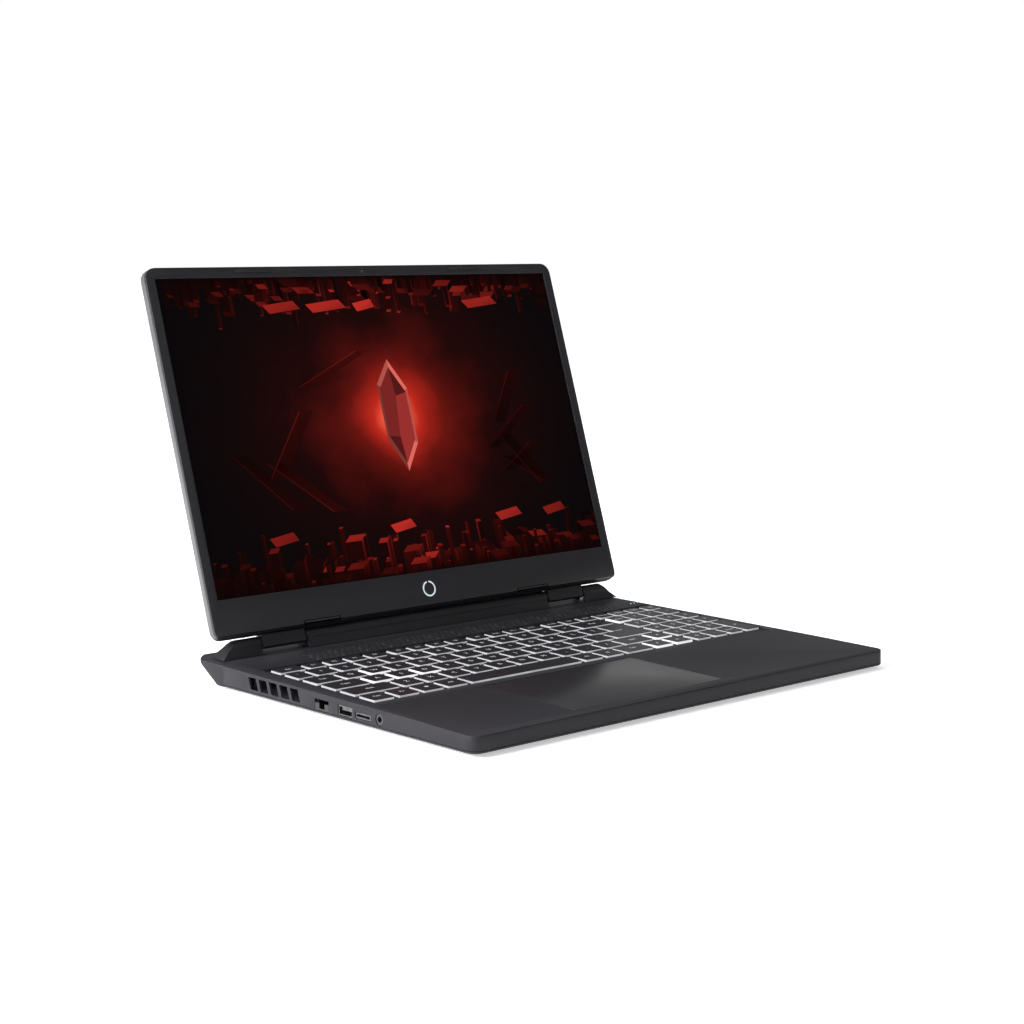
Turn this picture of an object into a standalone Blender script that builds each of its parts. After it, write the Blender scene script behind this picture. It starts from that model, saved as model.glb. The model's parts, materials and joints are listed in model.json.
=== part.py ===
"""A 16-inch laptop computer, open on a desk, as its separate pieces.

The X axis points to the user's right, Y to the rear and Z up. The origin is on the desk, straight
below the hinge axis at mid-width. The base is a wedge whose deck rises to the rear. Two empties hold
the sloping frames: deck_frame, whose XY plane is the deck, and lid_frame, whose X axis is the hinge
and whose Y axis runs up the lid, with Z out of the screen.
"""

import math

import bmesh
import bpy
from mathutils import Matrix, Vector

# ---- Base, in metres
BASE_WIDTH = 0.3601
HALF = BASE_WIDTH / 2
BASE_FRONT = 0.2600  # hinge axis to the front edge
BASE_REAR = 0.0205  # hinge axis to the rear edge
DECK_HEIGHT = 0.01814  # deck above the desk at the hinge axis
DECK_SLOPE = math.radians(1.2)
UNDERSIDE = 0.0025  # bottom of the base above the desk
CORNER_RADIUS = 0.0070
WALL = 0.0016
DECK_THICKNESS = 0.0015
BOTTOM_THICKNESS = 0.0014
GAP = 0.0003  # clearance between fitted pieces
SEAM = 0.0115  # rear cover's seam, in front of the hinge axis
SIDE_CHAMFER = 0.0058  # width of the side chamfer at the hinge axis
SIDE_CHAMFER_DROP = 0.0020
SIDE_CHAMFER_LENGTH = 0.2000  # the chamfer fades out this far in front of the hinge
FRONT_CHAMFER = 0.0008
REAR_LIP = 0.0012
UNDERCUT = 0.0040  # the rear face starts rising this far in front of the hinge axis
EDGE_BREAK = 0.0008
CUT_REACH = 0.0050  # how far a cutter runs past the wall it opens

# ---- Hinge and lid
LID_ANGLE = math.radians(107.4)
BARREL_RADIUS = 0.0046  # hinge covers, about the hinge axis
LID_BACK = 0.0015  # lid's back face behind the hinge axis
BEZEL_FACE = 0.00586  # bezel's face in front of the hinge axis
BEZEL_THICKNESS = 0.00176
BEZEL_PLATE = 0.0012
LID_CLEARANCE = 0.00065  # closed bezel above the deck
HINGE_HEIGHT = DECK_HEIGHT + BEZEL_FACE + LID_CLEARANCE
LID_WALL = 0.0018
LID_WIDTH = BASE_WIDTH - 2 * GAP
LID_BOTTOM = BARREL_RADIUS + 2 * GAP  # lid's lower edge above the hinge axis, along the lid
LID_TOP = BASE_FRONT - 0.0046
LID_TOP_RADIUS = 0.0080
LID_BOTTOM_RADIUS = 0.0065
SIDE_BORDER = 0.00675  # bezel beside, below and above the screen
CHIN = 0.0258
TOP_BORDER = 0.0074
SCREEN_WIDTH = LID_WIDTH - 2 * SIDE_BORDER
SCREEN_BOTTOM = LID_BOTTOM + CHIN
SCREEN_TOP = LID_TOP - TOP_BORDER
PANEL_BORDER = 0.0015  # hidden under the bezel, beside and above the screen
PANEL_THICKNESS = 0.0026
KNUCKLE_RADIUS = BARREL_RADIUS - 0.00045
KNUCKLE_WIDTH = 0.0350
KNUCKLE_OUTER = HALF - 0.03555
KNUCKLE_INNER = KNUCKLE_OUTER - KNUCKLE_WIDTH
KNUCKLE_GAP = 0.0010
COVER_WALL = 0.0012
COVER_TOE = BARREL_RADIUS + 0.0030
COVER_HEEL = BARREL_RADIUS + 0.0042
CAP_END = HALF - 0.00305
CAP_SHOULDER = CAP_END - 0.0130
PIN_RADIUS = 0.0019
SLEEVE_WALL = 0.0008
ARM_LENGTH = 0.0420
ARM_THICKNESS = 0.0010
BUMPER_LENGTH = 0.0290
BUMPER_WIDTH = 0.0024
BUMPER_CENTRE = 0.0940
BUMPER_PROUD = 0.00042
LENS_RADIUS = 0.0010

# ---- Keyboard, measured on the deck
KEY_PITCH = 0.0191
KEY_SPACE = 0.0039  # between neighbouring key tops
ROW_PITCH = 0.0193
ROW_SPACE = 0.0042
NUMPAD_PITCH = 0.0164
NUMPAD_SPACE = 0.0020  # extra room beside the number pad
KEYBOARD_CENTRE = 0.0035
KEYS_REAR = 0.0462  # hinge axis to the function keys
FUNCTION_DEPTH = 0.0108
ESCAPE_WIDTH = 0.0231
FUNCTION_GROUP_SPACE = 0.0034  # extra room between groups of function keys
MAIN_UNITS = 14.52  # width of the main block in key pitches
KEY_FLARE = 0.0004  # how much wider a key is at its foot, each side
KEY_TRAVEL = 0.0013
CAP_HEIGHT = 0.0022
STEM_WIDTH = 0.0040  # square stem from a cap down to its link strip
LINK_TOP = 0.0039  # strip that joins keys, below the deck
LINK_THICKNESS = 0.0005
LINK_MARGIN = 0.0030  # from a key's sides in to the strip's ends
FRAME_TOP = 0.0015
FRAME_THICKNESS = 0.0006
HOLE_ROOM = 0.0003
PLATE_THICKNESS = 0.0008
PLATE_INSET = 0.0075  # plate's edge inside the well's sides, clear of the sockets
WELL_SIDE = 0.0046  # well's edge beyond the outermost key tops
WELL_REAR = 0.0022
WELL_FRONT = 0.0116
WELL_BEVEL = 0.0010

# ---- Touchpad
TOUCHPAD_CENTRE = -0.0304
TOUCHPAD_WIDTH = 0.1264
TOUCHPAD_DEPTH = 0.0815
TOUCHPAD_FRONT = 0.0112  # margin to the front edge
TOUCHPAD_THICKNESS = 0.0010
TOUCHPAD_RECESS = 0.0001
TOUCHPAD_GAP = 0.0004

# ---- Sides: distances are measured towards the front from the hinge axis
VENT_FIRST = 0.0440
VENT_PITCH = 0.0113
VENT_WIDTH = 0.0083
VENT_LOW = 0.0057
VENT_HIGH = 0.0136
VENT_SLANT = 0.0025
VENT_COUNT = 5
PORT_DEPTH = 0.0100
PORT_SETBACK = 0.0004  # socket's mouth behind the wall's outer face
ETHERNET_AT = 0.1183
JAW_HEIGHT = 0.0045
JAW_THICKNESS = 0.0014

# ---- Inside
MAINBOARD_TOP = 0.0056
INNER_FLOOR = UNDERSIDE + BOTTOM_THICKNESS + GAP + 0.0002
FAN_RADIUS = 0.0300
FAN_BORDER = 0.0018  # housing's side beyond its round room
FAN_ROOM = 0.0004  # between a fan housing and the keyboard plate
HEATSINK_DEPTH = 0.0104
HEATSINK_REAR = 0.0082
HEATSINK_GAP = 0.0006
FAN_CENTRE = Vector(
    (HALF - 0.06055, -HEATSINK_REAR - HEATSINK_DEPTH - HEATSINK_GAP - FAN_BORDER - FAN_RADIUS)
)
BLADE_COUNT = 11
PIPE_RADIUS = 0.0015

# ---- Feet and screws
FOOT_LENGTH = 0.0420
FOOT_DEPTH = 0.0080
REAR_FOOT_LENGTH = 0.2300
REAR_FOOT_DEPTH = 0.0110
SCREW_HEAD_RADIUS = 0.0025
SCREW_RADIUS = 0.0011
SCREW_LENGTH = 0.0045
BOSS_RADIUS = 0.0030

SLOPE = math.tan(DECK_SLOPE)
WALL_FOOT = UNDERSIDE + BOTTOM_THICKNESS + GAP


def deck_z(y):
    """Height of the deck's surface at a Y value."""
    return DECK_HEIGHT + SLOPE * y


PLATE_TOP = LINK_TOP + LINK_THICKNESS + KEY_TRAVEL + GAP  # keyboard plate below the deck
FAN_HEIGHT = (
    deck_z(FAN_CENTRE.y - FAN_RADIUS - FAN_BORDER) - PLATE_TOP - PLATE_THICKNESS - FAN_ROOM - INNER_FLOOR
)


# ---------------------------------------------------------------- helpers


def clear_scene():
    for old in list(bpy.data.objects):
        bpy.data.objects.remove(old, do_unlink=True)


def new_collection(name):
    made = bpy.data.collections.new(name)
    bpy.context.scene.collection.children.link(made)
    return made


def finish_material(name, colour, roughness, metallic=0.0):
    material = bpy.data.materials.new(name)
    material.use_nodes = True
    shader = material.node_tree.nodes["Principled BSDF"]
    shader.inputs["Base Color"].default_value = (*colour, 1.0)
    shader.inputs["Roughness"].default_value = roughness
    shader.inputs["Metallic"].default_value = metallic
    return material


clear_scene()
LAPTOP = new_collection("laptop_computer")
CUTTERS = new_collection("cutters")

SHELL = finish_material("shell_plastic", (0.018, 0.018, 0.021), 0.45)
COVER = finish_material("hinge_cover_plastic", (0.014, 0.014, 0.016), 0.40)
KEYCAP = finish_material("keycap_plastic", (0.012, 0.012, 0.014), 0.50)
STEEL = finish_material("hinge_steel", (0.45, 0.45, 0.46), 0.35, 1.0)
COPPER = finish_material("heat_pipe_copper", (0.70, 0.33, 0.20), 0.35, 1.0)
BOARD = finish_material("circuit_board", (0.010, 0.045, 0.025), 0.55)
SOCKET = finish_material("socket_shell", (0.30, 0.30, 0.32), 0.35, 1.0)
RUBBER = finish_material("rubber", (0.012, 0.012, 0.012), 0.80)
GLASS = finish_material("screen_glass", (0.08, 0.004, 0.006), 0.15)
FOIL = finish_material("battery_foil", (0.03, 0.03, 0.035), 0.40)


def empty(name, place, turn=0.0, parent=None):
    """An empty for a frame or a joint axis, turned about X."""
    made = bpy.data.objects.new(name, None)
    made.location = place
    made.rotation_euler = (turn, 0.0, 0.0)
    made.parent = parent
    LAPTOP.objects.link(made)
    return made


DECK_FRAME = empty("deck_frame", (0, 0, DECK_HEIGHT), DECK_SLOPE)
LID_FRAME = empty("lid_frame", (0, 0, HINGE_HEIGHT), math.pi - LID_ANGLE)


def mesh_object(bm, name, collection, parent):
    bmesh.ops.recalc_face_normals(bm, faces=bm.faces[:])
    mesh = bpy.data.meshes.new(name)
    bm.to_mesh(mesh)
    bm.free()
    made = bpy.data.objects.new(name, mesh)
    made.parent = parent
    collection.objects.link(made)
    return made


def piece(bm, name, material, parent=None):
    made = mesh_object(bm, name, LAPTOP, parent)
    made.data.materials.append(material)
    return made


def tool(bm, name, parent=None):
    """A helper for a Boolean: drawn as wire and left out of renders."""
    made = mesh_object(bm, name, CUTTERS, parent)
    made.hide_render = True
    made.display_type = "WIRE"
    return made


def combine(target, helper, operation):
    modifier = target.modifiers.new(helper.name, "BOOLEAN")
    modifier.operation = operation
    modifier.object = helper
    modifier.solver = "EXACT"


def cut(target, helper):
    combine(target, helper, "DIFFERENCE")


def join(target, helper):
    combine(target, helper, "UNION")


def box(bm, low, high):
    """Adds a box between two corners, and gives its vertices."""
    low, high = Vector(low), Vector(high)
    size = high - low
    place = Matrix.Translation((low + high) / 2) @ Matrix.Diagonal((*size, 1.0))
    return bmesh.ops.create_cube(bm, size=1.0, matrix=place)["verts"]


def flared_box(bm, low, high, flare):
    """A box whose foot is wider than its top by flare on each side."""
    verts = box(bm, low, high)
    middle = (Vector(low) + Vector(high)) / 2
    for vert in verts:
        if vert.co.z < middle.z:
            vert.co.x += math.copysign(flare, vert.co.x - middle.x)
            vert.co.y += math.copysign(flare, vert.co.y - middle.y)
    return verts


TURNS = {
    "X": Matrix.Rotation(math.pi / 2, 4, "Y"),
    "Y": Matrix.Rotation(math.pi / 2, 4, "X"),
    "Z": Matrix.Identity(4),
}


def rod(bm, axis, start, end, centre, radius, segments=24):
    """A cylinder along X, Y or Z from start to end. centre gives its other two coordinates."""
    middle = (start + end) / 2
    place = {
        "X": (middle, *centre),
        "Y": (centre[0], middle, centre[1]),
        "Z": (*centre, middle),
    }[axis]
    bmesh.ops.create_cone(
        bm,
        cap_ends=True,
        segments=segments,
        radius1=radius,
        radius2=radius,
        depth=abs(end - start),
        matrix=Matrix.Translation(place) @ TURNS[axis],
    )


def slice_off(bm, point, normal):
    """Cuts a solid by a plane, drops what the normal points at, and closes the cut."""
    geometry = bm.verts[:] + bm.edges[:] + bm.faces[:]
    bmesh.ops.bisect_plane(bm, geom=geometry, plane_co=point, plane_no=normal, clear_outer=True)
    rim = [edge for edge in bm.edges if edge.is_boundary]
    if rim:
        bmesh.ops.holes_fill(bm, edges=rim, sides=0)


def round_upright(bm, radius, chosen=lambda place: True, segments=4):
    """Rounds the upright edges whose middle is chosen."""
    edges = []
    for edge in bm.edges:
        along = edge.verts[1].co - edge.verts[0].co
        middle = (edge.verts[0].co + edge.verts[1].co) / 2
        if abs(along.z) > 0.99 * along.length and chosen(middle):
            edges.append(edge)
    bmesh.ops.bevel(
        bm, geom=edges, offset=radius, affect="EDGES", segments=segments, profile=0.5, material=-1
    )


def outline_solid(points, start, end):
    """A bmesh of an outline in the YZ plane, drawn along X from start to end."""
    curve = bpy.data.curves.new("outline", "CURVE")
    curve.dimensions = "2D"
    curve.fill_mode = "BOTH"
    curve.extrude = (end - start) / 2
    spline = curve.splines.new("POLY")
    spline.points.add(len(points) - 1)
    for point, (y, z) in zip(spline.points, points):
        point.co = (y, z, 0.0, 1.0)
    spline.use_cyclic_u = True
    holder = bpy.data.objects.new("outline", curve)
    CUTTERS.objects.link(holder)
    bpy.context.view_layer.update()
    mesh = bpy.data.meshes.new_from_object(holder.evaluated_get(bpy.context.evaluated_depsgraph_get()))
    bpy.data.objects.remove(holder, do_unlink=True)
    bm = bmesh.new()
    bm.from_mesh(mesh)
    bpy.data.meshes.remove(mesh)
    bmesh.ops.remove_doubles(bm, verts=bm.verts[:], dist=1e-6)
    # the curve's X, Y and Z become the world's Y, Z and X
    turn = Matrix(((0, 0, 1, 0), (1, 0, 0, 0), (0, 1, 0, 0), (0, 0, 0, 1)))
    bmesh.ops.transform(bm, matrix=Matrix.Translation(((start + end) / 2, 0, 0)) @ turn, verts=bm.verts[:])
    return bm


# ---------------------------------------------------------------- base shells

DECK_NORMAL = Vector((0, -math.sin(DECK_SLOPE), math.cos(DECK_SLOPE)))


def base_form(inset=0.0, drop=0.0, low=UNDERSIDE):
    """The base's outer form, shrunk by inset at its walls and by drop under its deck."""
    bm = bmesh.new()
    box(bm, (-HALF + inset, -BASE_FRONT + inset, low), (HALF - inset, BASE_REAR - inset, 2 * DECK_HEIGHT))
    round_upright(bm, CORNER_RADIUS - inset)
    slice_off(bm, (0, 0, DECK_HEIGHT - drop), DECK_NORMAL)
    for side in (-1, 1):
        inner = Vector((side * (HALF - SIDE_CHAMFER), 0, DECK_HEIGHT))
        outer = Vector((side * HALF, 0, DECK_HEIGHT - SIDE_CHAMFER_DROP))
        faded = Vector((side * HALF, -SIDE_CHAMFER_LENGTH, deck_z(-SIDE_CHAMFER_LENGTH)))
        normal = side * (faded - inner).cross(outer - inner).normalized()
        if normal.z < 0:
            normal.negate()
        slice_off(bm, inner - inset * normal, normal)
    slope_start = Vector((0, -UNDERCUT, UNDERSIDE))
    slope_end = Vector((0, BASE_REAR, deck_z(BASE_REAR) - REAR_LIP))
    along = (slope_end - slope_start).normalized()
    normal = Vector((0, along.z, -along.y))
    slice_off(bm, slope_start - inset * normal, normal)
    return bm


def base_part(name, front=None, rear=None, low=UNDERSIDE):
    """The stretch of the base's form between two Y planes, hollowed to its walls."""
    bm = base_form(low=low)
    if rear is not None:
        slice_off(bm, (0, rear, 0), (0, 1, 0))
        slice_off(bm, (0, -BASE_FRONT, deck_z(-BASE_FRONT) - FRONT_CHAMFER), (0, -1, 1))
    if front is not None:
        slice_off(bm, (0, front, 0), (0, -1, 0))
    return piece(bm, name, SHELL)


def side_vents(bm, side):
    """Slanted air slots in one side wall."""
    for step in range(VENT_COUNT):
        middle = -(VENT_FIRST + step * VENT_PITCH)
        verts = box(
            bm,
            (side * HALF - 2 * WALL, middle - VENT_WIDTH / 2, VENT_LOW),
            (side * HALF + 2 * WALL, middle + VENT_WIDTH / 2, VENT_HIGH),
        )
        for vert in verts:
            if vert.co.z < (VENT_LOW + VENT_HIGH) / 2:
                vert.co.y -= VENT_SLANT


# name: side (-1 left, 1 right), place along the side, height, width, height of the mouth, rim, tongue
SOCKETS = {
    "usb_a_jack_left": (-1, 0.1418, 0.0080, 0.0124, 0.0046, 0.0007, 0.0018),
    "card_slot": (-1, 0.1592, 0.0076, 0.0126, 0.0016, 0.0009, 0.0),
    "hdmi_jack": (1, 0.1118, 0.0080, 0.0142, 0.0044, 0.0007, 0.0010),
    "usb_c_jack": (1, 0.1310, 0.0080, 0.0086, 0.0028, 0.0005, 0.0007),
    "usb_a_jack_right": (1, 0.1470, 0.0080, 0.0124, 0.0046, 0.0007, 0.0018),
}
# name: side, place, height, outer radius, bore radius, contact pin's radius
ROUND_SOCKETS = {
    "audio_jack": (-1, 0.1749, 0.0085, 0.0033, 0.00175, 0.0),
    "dc_inlet": (1, 0.0250, 0.0095, 0.0038, 0.00275, 0.0006),
}
ETHERNET_WIDTH = 0.0118
ETHERNET_LOW = 0.0046
ETHERNET_HIGH = 0.0112
ETHERNET_RIM = 0.0010


def make_top_cover():
    """Deck and side walls, with the openings for the keyboard, touchpad and ports."""
    cover = base_part("top_cover", rear=-SEAM - GAP / 2, low=WALL_FOOT)
    cut(cover, tool(base_form(inset=WALL, drop=DECK_THICKNESS, low=0.0), "top_cover_inside"))

    bosses = bmesh.new()
    bores = bmesh.new()
    for x, y in screw_places():
        rod(bosses, "Z", WALL_FOOT, deck_z(y) - DECK_THICKNESS / 2, (x, y), BOSS_RADIUS, 12)
        rod(bores, "Z", 0.0, UNDERSIDE + SCREW_LENGTH + 0.0025, (x, y), SCREW_RADIUS + GAP, 12)
    join(cover, tool(bosses, "screw_bosses"))

    deck = bmesh.new()
    (left, right), (rear, front) = well_sides()
    middle_y = -(rear + front) / 2
    for vert in box(deck, (left, -front, -CUT_REACH), (right, -rear, WELL_BEVEL)):
        if vert.co.z > 0.0:
            vert.co.x += math.copysign(WELL_BEVEL, vert.co.x)
            vert.co.y += math.copysign(WELL_BEVEL, vert.co.y - middle_y)
    middle = touchpad_middle()
    reach = Vector((TOUCHPAD_WIDTH / 2 + TOUCHPAD_GAP, TOUCHPAD_DEPTH / 2 + TOUCHPAD_GAP))
    box(deck, (*(middle - reach), -CUT_REACH), (*(middle + reach), CUT_REACH))
    cut(cover, tool(deck, "deck_openings", DECK_FRAME))

    walls = bmesh.new()
    for side in (-1, 1):
        side_vents(walls, side)
    for side, place, height, width, mouth, rim, _ in SOCKETS.values():
        reach = Vector((2 * WALL, width / 2 + rim + GAP, mouth / 2 + rim + GAP))
        centre = Vector((side * HALF, -place, height))
        box(walls, centre - reach, centre + reach)
    for side, place, height, outer, _, _ in ROUND_SOCKETS.values():
        rod(walls, "X", side * HALF - 2 * WALL, side * HALF + 2 * WALL, (-place, height), outer + GAP)
    reach = ETHERNET_WIDTH / 2 + ETHERNET_RIM + GAP
    box(walls, (-HALF - WALL, -ETHERNET_AT - reach, 0.0), (-HALF + 2 * WALL, -ETHERNET_AT + reach, ETHERNET_HIGH))
    cut(cover, tool(walls, "wall_openings"))
    cut(cover, tool(bores, "screw_bores"))
    return cover


def make_rear_cover():
    """Rear end of the base, with air slots in its sloping back and openings for the hinges."""
    cover = base_part("rear_cover", front=-SEAM + GAP / 2)
    inside = base_form(inset=WALL, drop=DECK_THICKNESS, low=UNDERSIDE + BOTTOM_THICKNESS)
    slice_off(inside, (0, -2 * SEAM, 0), (0, -1, 0))
    cut(cover, tool(inside, "rear_cover_inside"))
    slots = bmesh.new()
    for side in (-1, 1):
        for step in range(9):
            middle = side * (FAN_CENTRE.x - 0.028 + 0.007 * step)
            box(slots, (middle - 0.0022, -UNDERCUT, 0.0062), (middle + 0.0022, BASE_REAR, 0.0130))
        ends = sorted((side * (KNUCKLE_OUTER + 0.0026), side * (CAP_SHOULDER - 0.002)))
        box(slots, (ends[0], -0.0030, DECK_HEIGHT / 2 + 0.005), (ends[1], 0.0030, 2 * DECK_HEIGHT))
    cut(cover, tool(slots, "rear_openings"))
    return cover


def make_bottom_cover():
    """Flat cover under the base, with air intakes below the fans and counterbored screw holes."""
    bm = bmesh.new()
    box(bm, (-HALF, -BASE_FRONT, UNDERSIDE), (HALF, BASE_REAR, UNDERSIDE + BOTTOM_THICKNESS))
    round_upright(bm, CORNER_RADIUS)
    slice_off(bm, (0, -SEAM - GAP / 2, 0), (0, 1, 0))
    lower = [
        edge
        for edge in bm.edges
        if all(vert.co.z < UNDERSIDE + 1e-6 and vert.co.y < -SEAM - GAP for vert in edge.verts)
        or (
            all(vert.co.z < UNDERSIDE + 1e-6 for vert in edge.verts)
            and abs(edge.verts[0].co.x - edge.verts[1].co.x) < 1e-6
        )
    ]
    bmesh.ops.bevel(bm, geom=lower, offset=EDGE_BREAK, affect="EDGES", segments=1, profile=0.5, material=-1)
    cover = piece(bm, "bottom_cover", SHELL)
    openings = bmesh.new()
    for side in (-1, 1):
        for step in range(7):
            x = side * FAN_CENTRE.x + (step - 3) * 0.0066
            box(openings, (x - 0.0018, FAN_CENTRE.y - 0.018, 0.0), (x + 0.0018, FAN_CENTRE.y + 0.018, 0.01))
    for x, y in screw_places():
        rod(openings, "Z", 0.0, 0.01, (x, y), SCREW_RADIUS + GAP, 12)
    cut(cover, tool(openings, "bottom_openings"))
    heads = bmesh.new()
    for x, y in screw_places():
        rod(heads, "Z", 0.0, UNDERSIDE + 0.0009, (x, y), SCREW_HEAD_RADIUS + GAP, 16)
    cut(cover, tool(heads, "screw_counterbores"))
    return cover


# ---------------------------------------------------------------- hinge


def hinge_outline(radius, toe, heel, low):
    """Section of a hinge cover: a sloping front face, a barrel round the hinge axis, a sloping back."""
    points = [(heel, low), (-toe, low)]
    first, last, steps = math.radians(198), math.radians(12), 11
    for step in range(steps + 1):
        angle = first + (last - first) * step / steps
        points.append((radius * math.cos(angle), HINGE_HEIGHT + radius * math.sin(angle)))
    return points


def hinge_cover(start, end, open_start=False):
    """One hollow cover on the deck, over the hinge axis, from start to end along X."""
    bm = outline_solid(hinge_outline(BARREL_RADIUS, COVER_TOE, COVER_HEEL, deck_z(-COVER_TOE)), start, end)
    slice_off(bm, (0, 0, DECK_HEIGHT + GAP), -DECK_NORMAL)
    inside = outline_solid(
        hinge_outline(BARREL_RADIUS - COVER_WALL, COVER_TOE - 2 * COVER_WALL, COVER_HEEL - 2 * COVER_WALL, 0.0),
        start + (-0.002 if open_start else COVER_WALL),
        end - COVER_WALL,
    )
    return bm, inside


def make_hinge_covers():
    middle = KNUCKLE_INNER - KNUCKLE_GAP
    bm, inside = hinge_cover(-middle, middle)
    cut(piece(bm, "hinge_center_cover", COVER), tool(inside, "hinge_center_inside"))
    for side, label in ((-1, "left"), (1, "right")):
        bm, inside = hinge_cover(KNUCKLE_OUTER + KNUCKLE_GAP, CAP_END, open_start=True)
        rise = HINGE_HEIGHT + BARREL_RADIUS - DECK_HEIGHT
        slope = Vector((rise, 0, CAP_END - CAP_SHOULDER)).normalized()
        shoulder = Vector((CAP_SHOULDER, 0, HINGE_HEIGHT + BARREL_RADIUS))
        slice_off(bm, shoulder, slope)
        slice_off(inside, shoulder - COVER_WALL * slope, slope)
        if side < 0:
            for half in (bm, inside):
                bmesh.ops.scale(half, vec=(-1, 1, 1), verts=half.verts[:])
        name = "hinge_cap_" + label
        cut(piece(bm, name, COVER), tool(inside, name + "_inside"))


def make_hinges():
    """Steel brackets: a sleeve on a foot in the base, and a pin on an arm in the lid."""
    sleeve_start = KNUCKLE_OUTER + KNUCKLE_GAP + 0.0020
    sleeve_end = CAP_SHOULDER - 0.0035
    bore = PIN_RADIUS + GAP
    for side, label in ((-1, "left"), (1, "right")):
        bm = bmesh.new()
        ends = sorted((side * sleeve_start, side * sleeve_end))
        rod(bm, "X", *ends, (0, HINGE_HEIGHT), bore + SLEEVE_WALL)
        base = piece(bm, "hinge_base_bracket_" + label, STEEL)
        foot = bmesh.new()
        low = DECK_HEIGHT - DECK_THICKNESS - 0.0030
        box(foot, (ends[0], -0.0022, low), (ends[1], 0.0022, HINGE_HEIGHT - bore - 0.0002))
        join(base, tool(foot, "hinge_foot_" + label))
        flange = bmesh.new()
        box(flange, (ends[0] - 0.002, -0.0180, low - 0.0010), (ends[1] + 0.002, 0.0030, low + 0.0002))
        join(base, tool(flange, "hinge_flange_" + label))
        hole = bmesh.new()
        rod(hole, "X", ends[0] - 0.001, ends[1] + 0.001, (0, HINGE_HEIGHT), bore)
        cut(base, tool(hole, "sleeve_bore_" + label))

        bm = bmesh.new()
        ends = sorted((side * (KNUCKLE_INNER + 0.0020), side * (sleeve_end - 0.0005)))
        rod(bm, "X", *ends, (0, 0), PIN_RADIUS)
        pin = piece(bm, "hinge_lid_bracket_" + label, STEEL, LID_FRAME)
        arm = bmesh.new()
        ends = sorted((side * (KNUCKLE_INNER + 0.0035), side * (KNUCKLE_OUTER - 0.0035)))
        box(arm, (ends[0], 0.0, GAP), (ends[1], ARM_LENGTH, GAP + ARM_THICKNESS))
        join(pin, tool(arm, "hinge_arm_" + label, LID_FRAME))


# ---------------------------------------------------------------- lid


def lid_form(low, high, inset=0.0):
    """The lid's outline between two depths, with its lower edge cut to clear the base."""
    bm = bmesh.new()
    side = LID_WIDTH / 2 - inset
    box(bm, (-side, LID_BOTTOM + inset, low), (side, LID_TOP - inset, high))
    middle = (LID_BOTTOM + LID_TOP) / 2
    round_upright(bm, LID_TOP_RADIUS - inset, lambda place: place.y > middle)
    round_upright(bm, LID_BOTTOM_RADIUS - inset, lambda place: place.y < middle and abs(place.x) > side - 1e-5)
    start = Vector((0, LID_BOTTOM, LID_BACK))
    end = Vector((0, LID_BOTTOM + 0.00255, BEZEL_FACE))
    along = (end - start).normalized()
    normal = Vector((0, -along.z, along.y))
    slice_off(bm, start - inset * normal, normal)
    return bm


def make_lid_cover():
    """Back shell of the lid, with the two hinge knuckles."""
    seam = BEZEL_FACE - BEZEL_THICKNESS - GAP
    bm = lid_form(-LID_BACK, seam)
    rim = [edge for edge in bm.edges if all(vert.co.z < -LID_BACK + 1e-6 for vert in edge.verts)]
    bmesh.ops.bevel(bm, geom=rim, offset=0.0010, affect="EDGES", segments=2, profile=0.5, material=-1)
    cover = piece(bm, "lid_cover", SHELL, LID_FRAME)
    cut(cover, tool(lid_form(0.0, 2 * BEZEL_FACE, inset=LID_WALL), "lid_inside", LID_FRAME))
    for side, label in ((-1, "left"), (1, "right")):
        ends = sorted((side * KNUCKLE_INNER, side * KNUCKLE_OUTER))
        knuckle = bmesh.new()
        rod(knuckle, "X", *ends, (0, 0), KNUCKLE_RADIUS)
        join(cover, tool(knuckle, "knuckle_" + label, LID_FRAME))
        neck = bmesh.new()
        box(neck, (ends[0], 0.0, -LID_BACK + 0.0002), (ends[1], LID_BOTTOM + 0.0008, LID_BACK - 0.0002))
        join(cover, tool(neck, "knuckle_neck_" + label, LID_FRAME))
        room = bmesh.new()
        ends = sorted((side * (KNUCKLE_INNER + 0.0012), side * (KNUCKLE_OUTER + 0.001)))
        rod(room, "X", *ends, (0, 0), PIN_RADIUS + GAP)
        cut(cover, tool(room, "knuckle_bore_" + label, LID_FRAME))
        slot = bmesh.new()
        ends = sorted((side * (KNUCKLE_INNER + 0.0030), side * (KNUCKLE_OUTER - 0.0030)))
        box(slot, (ends[0], 0.0, 0.0), (ends[1], LID_BOTTOM + LID_WALL + 0.002, ARM_THICKNESS + 2 * GAP))
        cut(cover, tool(slot, "arm_slot_" + label, LID_FRAME))


def make_bezel():
    back = BEZEL_FACE - BEZEL_THICKNESS
    bm = lid_form(back, BEZEL_FACE)
    bezel = piece(bm, "lid_bezel", SHELL, LID_FRAME)
    opening = bmesh.new()
    box(opening, (-SCREEN_WIDTH / 2, SCREEN_BOTTOM, 0.0), (SCREEN_WIDTH / 2, SCREEN_TOP, 0.01))
    cut(bezel, tool(opening, "screen_opening", LID_FRAME))
    pocket = bmesh.new()
    side = LID_WIDTH / 2 - 0.0025
    low, high = LID_BOTTOM + 0.0040, LID_TOP - 0.0020
    box(pocket, (-side, low, 0.0), (side, high, BEZEL_FACE - BEZEL_PLATE))
    cut(bezel, tool(pocket, "bezel_pocket", LID_FRAME))
    seats = bmesh.new()
    for side in (-1, 1):
        reach = Vector((BUMPER_LENGTH / 2 + GAP, BUMPER_WIDTH / 2 + GAP))
        centre = Vector((side * BUMPER_CENTRE, bumper_height()))
        box(seats, (*(centre - reach), BEZEL_FACE - 0.0006), (*(centre + reach), 0.01))
    rod(seats, "Z", 0.003, 0.01, (0, camera_height()), LENS_RADIUS + GAP, 16)
    cut(bezel, tool(seats, "bumper_seats", LID_FRAME))


def bumper_height():
    return LID_TOP - 0.0029


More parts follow.
